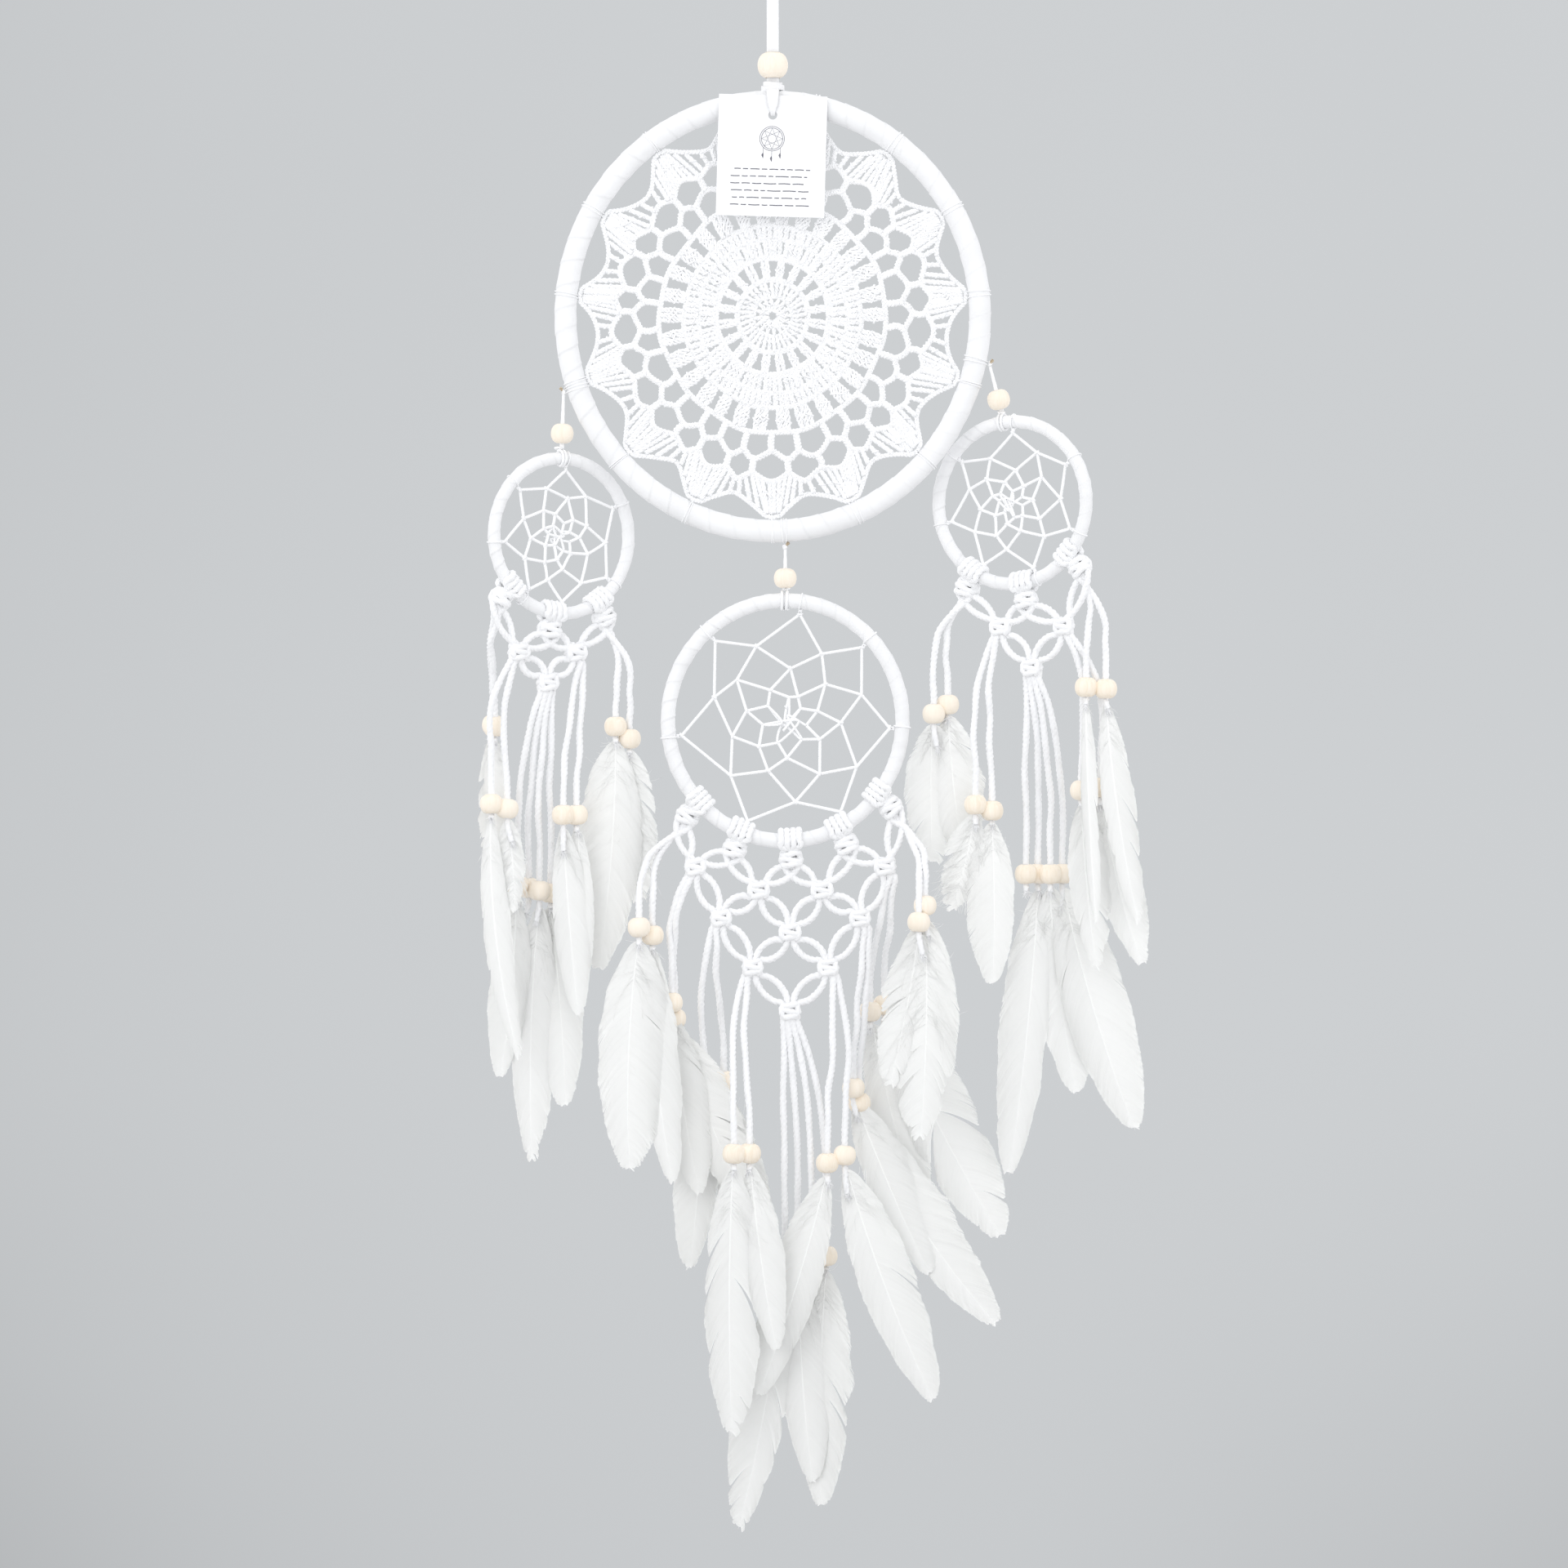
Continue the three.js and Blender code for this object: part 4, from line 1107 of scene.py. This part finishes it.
def web_piece(pendant):
    """The web's rounds and their hitches, its ties to the hoop, and the tangle at its heart."""
    numbers = np.random.default_rng(5100 + PENDANTS.index(pendant))
    shape = Shape()
    rounds = web_nodes(pendant, numbers)
    ties = len(pendant["ties"])
    for step in range(len(WEB_PULLS)):
        for k in range(ties):
            ends = [rounds[step][k], rounds[step + 1][k], rounds[step][(k + 1) % ties]]
            for start, end in ((ends[0], ends[1]), (ends[1], ends[2])):
                span = np.linalg.norm(end - start)
                sag = np.array([0, numbers.normal(0, 0.008) * span, 0])
                lift = (0.25 if step % 2 else -0.25) * BACK
                line = placed(pendant, np.array([start + lift, (start + end) / 2 + sag, end + lift]))
                style = {"plies": 2, "pitch": 3.4, "crease": 0.1, "rough": (0.02, numbers)}
                shape.tube(curve(line, 0.9), THREAD / 2, 8, **style)
            if step:
                hitch(shape, placed(pendant, rounds[step][k]), 0.62 * THREAD, numbers)
    for k, degrees in enumerate(pendant["ties"]):
        loop = around_tube(pendant, degrees + numbers.uniform(-1, 1), pendant["wrap"] + 0.35, 1.2)
        shape.tube(respaced(loop, 0.8), 0.4, 7, plies=2, pitch=2.6, crease=0.1)
        angle = math.radians(degrees)
        rim = placed(pendant, hoop_point(pendant, pendant["ring"] - pendant["wrap"], degrees))
        tie = placed(pendant, rounds[0][k])
        for slip in (-0.45, 0.45):
            offset = turned((slip * math.cos(angle), 0, -slip * math.sin(angle)), pendant["turn"])
            shape.tube(respaced(np.array([rim + offset, tie]), 0.8), THREAD / 2 * 0.9, 7)
        hitch(shape, tie, 0.7 * THREAD, numbers)
    heart = placed(pendant, np.mean(rounds[-1], axis=0))
    size = np.mean([np.linalg.norm(point) for point in rounds[-1]])
    spots = []
    for point in rounds[-1]:
        spots += [placed(pendant, point), heart + numbers.normal(0, 0.32, 3) * np.array([1, 0.2, 1]) * size]
    shape.tube(curve(spots, 0.8), THREAD / 2 * 0.85, 6)
    for _ in range(2):
        start = heart + numbers.normal(0, 0.5, 3) * np.array([1, 0.1, 1]) * size
        way = numbers.normal(0, 1, 3) * np.array([1, 0.2, 1]) * 2.0
        line = curve([start, start + way * 0.5 + BACK * -0.4, start + way + np.array([0, -0.8, -1.0])], 0.7)
        shape.tube(line, np.linspace(THREAD * 0.4, THREAD * 0.22, len(line)), 6)
    name = pendant["name"]
    piece(name + "_web", shape, WEB_THREAD, name + "_pendant", (name + "_web_thread",))


def hanger_points(pendant):
    """The thread's foot on the small hoop's crown, and its knot at the main hoop."""
    tilt = math.radians(pendant["thread_at"])
    radius = pendant["ring"] + pendant["wrap"] + THREAD
    foot = placed(pendant, (radius * math.sin(tilt), 0, radius * math.cos(tilt)))
    outer = MAIN_HOOP["ring"] + MAIN_HOOP["wrap"]
    height = pendant["tie"] - MAIN_HOOP["centre"][1]
    if pendant["name"] == "centre":
        return foot, np.array([pendant["centre"][0], 0, pendant["tie"] - 1.6])
    edge = MAIN_HOOP["squash"] * outer * math.sqrt(1 - (height / outer) ** 2) + 1.6
    return foot, np.array([-edge if pendant["name"] == "left" else edge, 0, pendant["tie"]])


def hanger_piece(pendant):
    name = pendant["name"]
    numbers = np.random.default_rng(5300 + PENDANTS.index(pendant))
    foot, top = hanger_points(pendant)
    shape = Shape()
    style = {"plies": 2, "pitch": 2.6, "crease": 0.18}
    for shift in (-0.5, 0.5):
        offset = np.array([shift, 0.2 * shift, 0])
        shape.tube(respaced(np.array([top, foot + offset]), 1.0), THREAD / 2, 7, **style)
    knot = [top + unit(numbers.normal(0, 1, 3)) * 0.9 for _ in range(9)]
    shape.tube(curve([*knot, knot[0]], 0.5), THREAD / 2, 7)
    radius = pendant["wrap"] + 0.45 * THREAD
    for at in (-1.4, 0.9):
        loop = around_tube(pendant, pendant["thread_at"] + at, radius, 0.8)
        shape.tube(respaced(loop, 0.8), THREAD / 2, 7, **style)
    out = unit(top - foot)
    lump = [foot + out * 0.3 + numbers.normal(0, 1, 3) * np.array([1.5, 0.5, 0.5]) for _ in range(7)]
    shape.tube(curve(lump, 0.5), THREAD / 2 * 0.9, 7, **style)
    piece(name + "_hanger_thread", shape, WEB_THREAD, name + "_pendant")
    side = unit(np.cross(BACK, out))
    rotation = np.column_stack([side, np.cross(out, side), out])
    centre = foot + HANGER_BEAD["share"] * (top - foot)
    size = {**BEAD, "bore": HANGER_BEAD["bore"]}
    replaces = (name + "_hanger_bead",)
    bead_piece(name + "_thread_bead", centre, size, rotation, name + "_pendant", replaces, 0.35)


def main_hoop_loop(name, degrees, seed):
    """Thread twice round the main hoop's tube, at an angle clockwise from the top."""
    shape = Shape()
    numbers = np.random.default_rng(seed)
    for turn in (-0.5, 0.5):
        at = degrees + turn * 0.75 + numbers.uniform(-0.15, 0.15)
        loop = around_tube(MAIN_HOOP, at, MAIN_HOOP["wrap"] + 0.22, numbers.uniform(-2.5, 2.5))
        shape.tube(respaced(loop, 0.9), 0.32, 7, plies=2, pitch=2.2, crease=0.1)
    piece(name, shape, WEB_THREAD, "root")


def thread_end(pendant, knot_place):
    """The singed stub that sticks out of the hanger's knot."""
    stub = Shape()
    numbers = np.random.default_rng(5400 + PENDANTS.index(pendant))
    away = np.array([-1.0 if pendant["name"] == "left" else 1.0, -0.9, 1.2])
    line = curve([knot_place + away * reach for reach in (0.4, 1.1, 1.6)], 0.4)
    stub.tube(line, np.linspace(0.55, 0.85, len(line)), 10, rough=(0.05, numbers))
    piece(pendant["name"] + "_thread_end", stub, BURNT, pendant["name"] + "_pendant")


for pendant in PENDANTS:
    web_piece(pendant)
    hanger_piece(pendant)
    _, knot_place = hanger_points(pendant)
    height = knot_place[2] - MAIN_HOOP["centre"][1]
    tied_at = math.degrees(math.atan2(knot_place[0] / MAIN_HOOP["squash"], height))
    main_hoop_loop(pendant["name"] + "_hoop_tie", tied_at, 61 + PENDANTS.index(pendant))
    thread_end(pendant, knot_place)

# ---------------------------------------------------------------- crocheted star

POINTS = 15  # of the star
MESHES = 30  # in each outer round
SHELLS = 20  # in each inner round


def polar(radius, degrees):
    """A point of the star, anticlockwise from the right. Its outer rounds are a little out of true."""
    pull = min(1.0, max(0.0, (radius - 30) / 40)) * min(1.0, max(0.0, (100 - radius) / 14))
    angle = math.radians(degrees)
    radius += pull * (0.9 * math.sin(4 * angle + 1) + 0.7 * math.sin(11 * angle + 3))
    angle += math.radians(pull * (1.1 * math.sin(5 * angle + 0.6) + 0.9 * math.sin(17 * angle + 2)))
    x, z = MAIN_HOOP["centre"]
    return np.array([x + MAIN_HOOP["squash"] * radius * math.cos(angle), 0, z + radius * math.sin(angle)])


def arc(radii, angles):
    return np.array([polar(r, a) for r, a in zip(radii, angles)])


class Crochet(Shape):
    """Stitches of one yarn."""

    def __init__(self, seed):
        super().__init__()
        self.numbers = np.random.default_rng(seed)

    def post(self, start, end, radius, spread, bulge=0.0):
        """A tall stitch: three strands twisted together, and a loop of yarn thrown round its middle."""
        loose = self.numbers.normal(0, 0.24, (2, 3)) * np.array([1, 1.4, 1])
        line = respaced(np.array([start + loose[0], end + loose[1]]), 0.8)
        count = len(line)
        swell = spread + bulge * np.sin(np.linspace(0, math.pi, count)) ** 2
        tangent = unit(end - start)
        lateral = unit(np.cross(tangent, BACK))
        turn = self.numbers.uniform(0, 2 * math.pi)
        pitch = self.numbers.uniform(5.5, 8.5)
        along = np.linalg.norm(line - line[0], axis=1)
        for i in range(3):
            phase = 2 * math.pi * along / pitch + turn + 2 * math.pi * i / 3
            wide = (swell * np.sin(phase))[:, None] * lateral
            points = line + wide + BACK * (0.5 * np.cos(phase))[:, None]
            self.tube(points, radius, 6, rough=(0.03, self.numbers))
        share = self.numbers.uniform(0.35, 0.65)
        middle = start + (end - start) * share
        angle = np.linspace(0, 2 * math.pi, 11)[:-1]
        across = np.cos(angle)[:, None] * lateral * (spread + bulge + 0.5)
        slope = np.cos(angle)[:, None] * tangent * self.numbers.uniform(0.6, 1.4)
        self.tube(middle + across + slope + BACK * (1.05 * np.sin(angle))[:, None], 0.5, 6, closed=True)

    def chain(self, line, radius=0.85, wide=1.05, closed=False):
        """A row of chain stitches: three strands, plaited."""
        along = along_line(line)
        pitch = 5.4
        if closed:
            whole = along[-1] + np.linalg.norm(line[0] - line[-1])
            pitch = whole / max(1, round(whole / pitch))
        lateral = unit(np.cross(directions(line, closed), BACK))
        start = self.numbers.uniform(0, 2 * math.pi)
        for i in range(3):
            phase = 2 * math.pi / pitch * along + start + 2 * math.pi * i / 3
            sideways = lateral * (wide * np.sin(phase))[:, None]
            points = line + sideways + BACK * (0.55 * np.sin(2 * phase))[:, None]
            self.tube(points, radius, 6, rough=(0.03, self.numbers), closed=closed)

    def ring(self, radius, size=0.66, wide=0.7):
        count = round(2 * math.pi * radius / 0.8)
        angles = np.linspace(0, 360, count, endpoint=False)
        wobble = 0.25 * np.sin(np.radians(angles) * 5 + self.numbers.uniform(0, 6))
        self.chain(arc(radius + wobble, angles), size, wide, closed=True)

    def groups(self, count, first, steps, low, high, *style):
        """Posts in groups, all the way round. low and high are each a radius and the degrees of one step."""
        for k in range(count):
            middle = 360 * (k + first) / count + 90
            for step in steps:
                foot = polar(low[0], middle + step * low[1])
                self.post(foot, polar(high[0], middle + step * high[1]), *style)

    def piece(self, name, replaces=()):
        piece(name, self, CROCHET_YARN, "root", replaces)


def fan_border(offset):
    """How far out the star's edge is, at an angle from a point's axis."""
    share = min(1.0, max(0.0, (abs(offset) - 2.0) / 10.0))
    return 87.6 + 10.2 * (1 - share) ** 1.7


def centre_rounds():
    work = Crochet(401)
    for k in range(16):
        at = 360 * k / 16
        work.post(polar(2.1, at), polar(9.8, at + 5), 0.55, 0.3, 0.4)
    work.ring(9.6, 0.5, 0.5)
    for k in range(36):
        at = 360 * k / 36
        work.post(polar(9.6, at), polar(17.4, at + 3), 0.6, 0.5)
    work.ring(17.6)
    work.ring(18.4, 0.5, 0.5)
    work.piece("crochet_centre", ("crochet_star",))


def slot_rounds():
    """The round of wide slots, two dense rounds, and the round of long slots."""
    work = Crochet(402)
    work.groups(SHELLS, 0.5, (-1, 1), (18.2, 2.3), (28.0, 2.1), 0.6, 0.5, 0.25)
    work.ring(28.4, 0.7, 0.8)
    work.ring(29.6, 0.6, 0.6)
    work.piece("crochet_slots")
    work = Crochet(403)
    work.groups(SHELLS, 0, (-1.5, -0.5, 0.5, 1.5), (29.2, 4.2), (37.4, 4.0), 0.66, 0.72)
    work.ring(37.6, 0.66, 0.8)
    work.groups(MESHES, 0.5, (-1, 0, 1), (37.4, 3.9), (45.0, 3.7), 0.72, 0.8)
    work.ring(44.6, 0.66, 0.8)
    work.piece("crochet_dense")
    work = Crochet(404)
    work.groups(MESHES, 0.5, (-1, 0, 1), (45.0, 2.6), (56.4, 2.4), 0.66, 0.6, 0.5)
    work.ring(56.9, 0.7, 0.8)
    work.piece("crochet_long_slots")


def zigzag(low, high, at_low, count):
    """Arches from low points to high points, all the way round."""
    angles = np.linspace(0, 360, count * 12, endpoint=False)
    share = 0.5 - 0.5 * np.cos(np.radians((angles - at_low) * count))
    return low + (high - low) * share**0.8, angles


def mesh_round(name, seed, first, walls, arches):
    """A round of open meshes: walls from a radius to another, and arches over them."""
    work = Crochet(seed)
    step = 360 / MESHES
    for k in range(MESHES):
        degrees = 90 + step * (k + first)
        loose = degrees + work.numbers.normal(0, 0.5)
        wall = [polar(walls[0], degrees), polar(sum(walls) / 2, loose), polar(walls[1], degrees)]
        work.chain(curve(wall, 0.8))
    work.chain(arc(*zigzag(*arches, 90 + step * first, MESHES)), closed=True)
    work.piece(name)


def fans():
    work = Crochet(407)
    for k in range(POINTS):
        axis = -90 + 360 * k / POINTS
        for base in (-10.6, -8.3, -6.3, -4.4, -2.6, -0.8, 0.8, 2.6, 4.4, 6.3, 8.3, 10.6):
            rise = 0.5 + 0.5 * math.cos(math.radians(base * MESHES))
            foot = polar(77.4 + 3.2 * rise, axis + base)
            if abs(base) > 9:
                head = polar(fan_border(9.6) - 0.6, axis + math.copysign(9.6, base))
            elif abs(base) > 7:
                head = polar(fan_border(6.4) - 0.6, axis + math.copysign(6.0, base))
            elif abs(base) > 5:
                head = polar(fan_border(4.2) - 0.8, axis + math.copysign(3.6, base))
            else:
                head = polar(96.6, axis + base * 0.42)
            work.post(foot, head, 0.68, 0.6)
    offsets = np.array([-2.2, -4.0, -6.4, -9.2, -12.0])
    for k in range(POINTS):
        axis = -90 + 360 * k / POINTS
        for side in (-1, 1):
            edge = [polar(fan_border(a), axis + side * abs(a)) for a in offsets]
            work.chain(curve([polar(98.0, axis + side * 1.2), *edge], 0.8), 0.6, 0.7)
        tip = [polar(97.6, axis - 1.9), polar(98.5, axis), polar(97.6, axis + 1.9)]
        work.chain(curve(tip, 0.8), 0.62, 0.7)
    work.piece("crochet_fans")


centre_rounds()
slot_rounds()
mesh_round("crochet_mesh_inner", 405, 0, (57.2, 66.6), (66.0, 69.9))
mesh_round("crochet_mesh_outer", 406, 0.5, (69.8, 77.6), (76.8, 80.8))
fans()
for k in range(POINTS):
    main_hoop_loop(f"point_tie_{k + 1}", 180 + 360 * k / POINTS, 80 + k)

# ---------------------------------------------------------------- ribbon, its bead and the tag


def flat_band(line, width, thickness, across, taper=None):
    """A ribbon along a line, with its width in one direction."""
    tangent = directions(line)
    wide = np.asarray(across, float)
    wide = unit(wide - tangent * (tangent @ wide)[:, None])
    normal = np.cross(tangent, wide)
    share = np.linspace(-1, 1, 9)
    half = np.full(len(line), width / 2) if taper is None else np.asarray(taper) / 2
    section = [(s, 1 - 0.25 * s * s) for s in share] + [(s, -1 + 0.25 * s * s) for s in share[::-1]]
    rows = [line + wide * (s * half)[:, None] + normal * (t * thickness / 2) for s, t in section]
    shape = Shape()
    shape.add(np.stack(rows, axis=1).reshape(-1, 3), quads(len(line), len(section), False))
    shape.close_ends(len(line), len(section))
    return shape


def hanging_ribbon():
    """The doubled ribbon: up from its knot through the bead, round the loop and down again."""
    radius, long = RIBBON["loop_radius"] - 0.35, RIBBON["loop_length"]
    angles = np.linspace(0, math.pi, 9)
    turn = [(radius * math.cos(a), -RIBBON["loop_radius"] + radius * math.sin(a)) for a in angles]
    low = -77.5
    rise = [(1.2, low), (1.2, -long - 8), (1.2, -long + 2), (1.6, -long + 12), (3.0, -long * 0.5)]
    route = [*rise, *turn, *[(-y, z) for y, z in rise[::-1]]]
    line = curve([(0, y, z) for y, z in route], 1.0)
    shape = flat_band(line, RIBBON["width"], RIBBON["thickness"], (1, 0, 0))
    made = piece("hanging_tape", shape, TAPE, "root", ("hanging_ribbon",))


def ribbon_turns():
    """The ribbon's turns round the hoop, and the flat knot between them and the bead."""
    line = respaced(around_tube(MAIN_HOOP, 0, MAIN_HOOP["wrap"] + 0.5), 0.8)
    turn = flat_band(np.vstack([line, line[1:2]]), RIBBON["width"], 0.7, (1, 0, 0))
    piece("tape_turn", turn, TAPE, "root")
    for number, (height, wide, deep, lean) in enumerate([(-76.4, 4.4, 2.6, 6), (-78.2, 5.4, 3.2, -8)], 1):
        angle = np.linspace(0, 2 * math.pi, 40)
        x = wide * np.cos(angle)
        y = deep * np.sin(angle)
        z = height + x * math.tan(math.radians(lean)) * np.sin(angle)
        ring = np.column_stack([x, y, z])
        piece(f"tape_knot_{number}", flat_band(ring, 2.6, 0.7, (0, 0, 1)), TAPE, "root")


def tag_tape():
    """The ribbon's tail: down in front of the card and back through its hole."""
    y, top = TAG_PLACE["y"], TAG_PLACE["top"]
    hole = top - TAG["hole_drop"]
    front = y - TAG["thickness"] - 0.7
    route = [(0, -1.6, top + 3.4), (0, -5.0, top + 3.2), (0, front, top + 0.6), (0, front - 0.3, top - 4)]
    route += [(0, front, hole + 2.2), (0, y, hole), (0, y + 1.1, hole + 0.2)]
    line = curve(route, 0.6)
    share = np.linspace(0, 1, len(line))
    taper = np.interp(share, [0, 0.25, 0.62, 0.86, 1], [5.2, 6.4, 5.4, 2.4, 2.0])
    shape = flat_band(line, 6, 0.55, (1, 0, 0), taper)
    piece("tag_tape", shape, TAPE, "tag", ("tag_tie",))


def tag_point(x, z, lift):
    """A point of the card, from its hole, turned as the card hangs. lift is towards the camera."""
    angle = math.radians(TAG["tilt"])
    curl = 0.35 * (x / 26) ** 2
    px = x * math.cos(angle) + z * math.sin(angle)
    pz = -x * math.sin(angle) + z * math.cos(angle)
    return (px, TAG_PLACE["y"] - lift - curl, TAG_PLACE["top"] - TAG["hole_drop"] + pz)


def card():
    """The card, as a ring of rows from its hole out to its edge, on both faces."""
    half, up, low = TAG["width"] / 2, TAG["hole_drop"], TAG["hole_drop"] - TAG["height"]
    corners = np.array([(half, up), (-half, up), (-half, low), (half, low), (half, up)])
    outer = np.vstack([np.linspace(a, b, 24, endpoint=False) for a, b in zip(corners, corners[1:])])
    angle = np.arctan2(outer[:, 1], outer[:, 0])
    inner = TAG["hole"] * np.column_stack([np.cos(angle), np.sin(angle)])
    shares = [0, 0.02, 0.2, 0.4, 0.6, 0.8, 0.98, 1.0]
    rows = []
    for lift, order in ((0.25, shares), (-0.25, shares[::-1])):
        for share in order:
            flat = inner * (1 - share) + outer * share
            thin = 0.8 if share in (0, 1.0) else 1.0
            rows.append([tag_point(x, z, lift * thin) for x, z in flat])
    shape = Shape()
    shape.add(np.array(rows).reshape(-1, 3), quads(len(rows), len(outer), True))
    made = piece("tag_card", shape, CARD, "tag", ("hang_tag",))
    made.data.polygons.foreach_set("use_smooth", [False] * len(made.data.polygons))


def ink_line(shape, points, width):
    """A printed line, a hair above the card."""
    points = np.array(points, float)
    direction = unit(np.gradient(points, axis=0))
    normal = np.column_stack([-direction[:, 1], direction[:, 0]])
    width = np.broadcast_to(np.asarray(width, float), (len(points),))[:, None]
    rows = []
    for side, lift in ((-1, 0.262), (1, 0.262), (1, 0.235), (-1, 0.235)):
        flat = points + normal * width / 2 * side
        rows.append([tag_point(x, z, lift) for x, z in flat])
    shape.add(np.array(rows).transpose(1, 0, 2).reshape(-1, 3), quads(len(points), 4, False))
    shape.close_ends(len(points), 4)


def tag_print():
    """A plain drawing of a hoop with three drops, and rows of bars in place of the words."""
    shape = Shape()
    numbers = random.Random(77)
    angle = np.linspace(0, 2 * math.pi, 49)
    for radius in (6.0, 5.2):
        ring = [(radius * math.cos(a), -11.5 + radius * math.sin(a)) for a in angle]
        ink_line(shape, ring, 0.28)
    for k in range(8):
        a, b = angle[6 * k], angle[(6 * k + 18) % 48]
        spoke = [(5.2 * math.cos(turn), -11.5 + 5.2 * math.sin(turn)) for turn in (a, b)]
        ink_line(shape, spoke, 0.16)
    for x, z in ((-4.2, -16.0), (0, -17.6), (4.2, -16.0)):
        ink_line(shape, [(x, z), (x, z - 2.2)], 0.2)
        leaf = [(x, z - 2.2), (x - 0.3, z - 3.6), (x, z - 5.2)]
        ink_line(shape, leaf, [0.1, 1.1, 0.1])
    for row in range(6):
        z = -26.5 - 3.5 * row
        x = -20.0 + numbers.uniform(0, 2.5)
        end = 20.0 - numbers.uniform(0, 3)
        while x < end:
            long = min(numbers.uniform(2.0, 6.5), end - x)
            if long > 1:
                middle = (x + long * 0.5, z + numbers.uniform(-0.15, 0.15))
                ink_line(shape, [(x, z), middle, (x + long, z)], 0.5)
            x += long + 1.1
    piece("tag_print", shape, INK, "tag")


hanging_ribbon()
ribbon_turns()
bead_low, bead_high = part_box("ribbon_bead")
bead_centre = np.array((bead_low + bead_high) / 2) / MM
bead_piece("ribbon_wood_bead", bead_centre, RIBBON_BEAD, np.eye(3), "root", ("ribbon_bead",), 0.45)
tag_tape()
card()
tag_print()

# ---------------------------------------------------------------- room, light and colour

scene = bpy.context.scene
scene.view_settings.view_transform = "Standard"
scene.view_settings.look = "None"

FLOOR_DEPTH = 0.13  # from the lowest feather to the floor
FLOOR_RADIUS = 0.85
low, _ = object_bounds()
under = (0, 0, low.z - FLOOR_DEPTH)
bpy.ops.mesh.primitive_circle_add(vertices=96, radius=FLOOR_RADIUS, fill_type="NGON", location=under)
floor = bpy.context.object
floor.name = "floor"
floor_look = Look("floor", Specular_IOR_Level=0.2, Roughness=0.9)
floor_look.colour(floor_look.ramp(floor_look.noise(0.2), [(0.3, grey(0.55)), (0.7, grey(0.58))]))
floor.data.materials.append(floor_look.material)

world = bpy.data.worlds.new("studio")
scene.world = world
studio = Nodes(world)


def ramp_of(value, end):
    """0 where a value is 0, 1 at end, and level beyond them."""
    return studio.node("ShaderNodeMapRange", {"Value": value, "From Max": end}).outputs["Result"]


# What the camera sees behind the part is a grey wall with painted shade: it darkens to its left, its foot
# and its lower corners.
# What lights the part is a bright room, a little brighter in front and above.
EDGE_OF_VIEW = VIEW_WIDTH / 2 / VIEW_DISTANCE
WALL_GREY = 0.632
WALL_PAINTED_SHADE = {"left": 0.045, "foot": 0.034, "corner": 0.07}
WALL_MOTTLE = 0.03
WALL_TINT = (0.972, 1.0, 1.024)
ROOM_LIGHT = {"level": 1.04, "front": 0.12, "above": 0.05}
ROOM_TINT = (0.992, 0.997, 1.012)
direction = studio.node("ShaderNodeTexCoord").outputs["Generated"]
axes = studio.node("ShaderNodeSeparateXYZ", {0: direction}).outputs
to_left = ramp_of(axes["X"], -EDGE_OF_VIEW)
to_side = ramp_of(studio.math("ABSOLUTE", axes["X"]), EDGE_OF_VIEW)
to_foot = ramp_of(axes["Z"], -EDGE_OF_VIEW)
left, foot, side = [studio.math("MULTIPLY", fade, fade) for fade in (to_left, to_foot, to_side)]
# painted shade on the wall: darker towards its left, its foot and its lower corners
wall = studio.math("SUBTRACT", WALL_GREY, studio.math("MULTIPLY", left, WALL_PAINTED_SHADE["left"]))
wall = studio.math("SUBTRACT", wall, studio.math("MULTIPLY", foot, WALL_PAINTED_SHADE["foot"]))
corner = studio.math("MULTIPLY", studio.math("MULTIPLY", foot, side), WALL_PAINTED_SHADE["corner"])
wall = studio.math("SUBTRACT", wall, corner)
inputs = {"Vector": direction, "Scale": 9.0, "Detail": 2.0}
mottle = studio.math("SUBTRACT", studio.node("ShaderNodeTexNoise", inputs).outputs["Fac"], 0.5)
wall = studio.math("ADD", wall, studio.math("MULTIPLY", mottle, WALL_MOTTLE))
room = studio.math("MULTIPLY", axes["Y"], -ROOM_LIGHT["front"])
room = studio.math("ADD", room, studio.math("MULTIPLY", axes["Z"], ROOM_LIGHT["above"]))
room = studio.math("ADD", room, ROOM_LIGHT["level"])
room_colour = studio.mix(room, grey(0), ROOM_TINT)
room_colour.node.clamp_factor = False
seen = studio.node("ShaderNodeLightPath").outputs["Is Camera Ray"]
chosen = studio.mix(seen, room_colour, studio.mix(wall, grey(0), WALL_TINT))
studio.links.new(chosen, studio.nodes["Background"].inputs["Color"])


def softbox(name, place, size, power):
    light = bpy.data.lights.new(name, "AREA")
    light.shape = "RECTANGLE"
    light.size, light.size_y = size
    light.energy = power
    made = bpy.data.objects.new(name, light)
    made.location = place
    made.rotation_euler = (VIEW_CENTRE - Vector(place)).to_track_quat("-Z", "Y").to_euler()
    made.visible_camera = False
    scene.collection.objects.link(made)


softbox("key", (-1.3, -2.4, 0.7), (1.4, 1.4), 9)
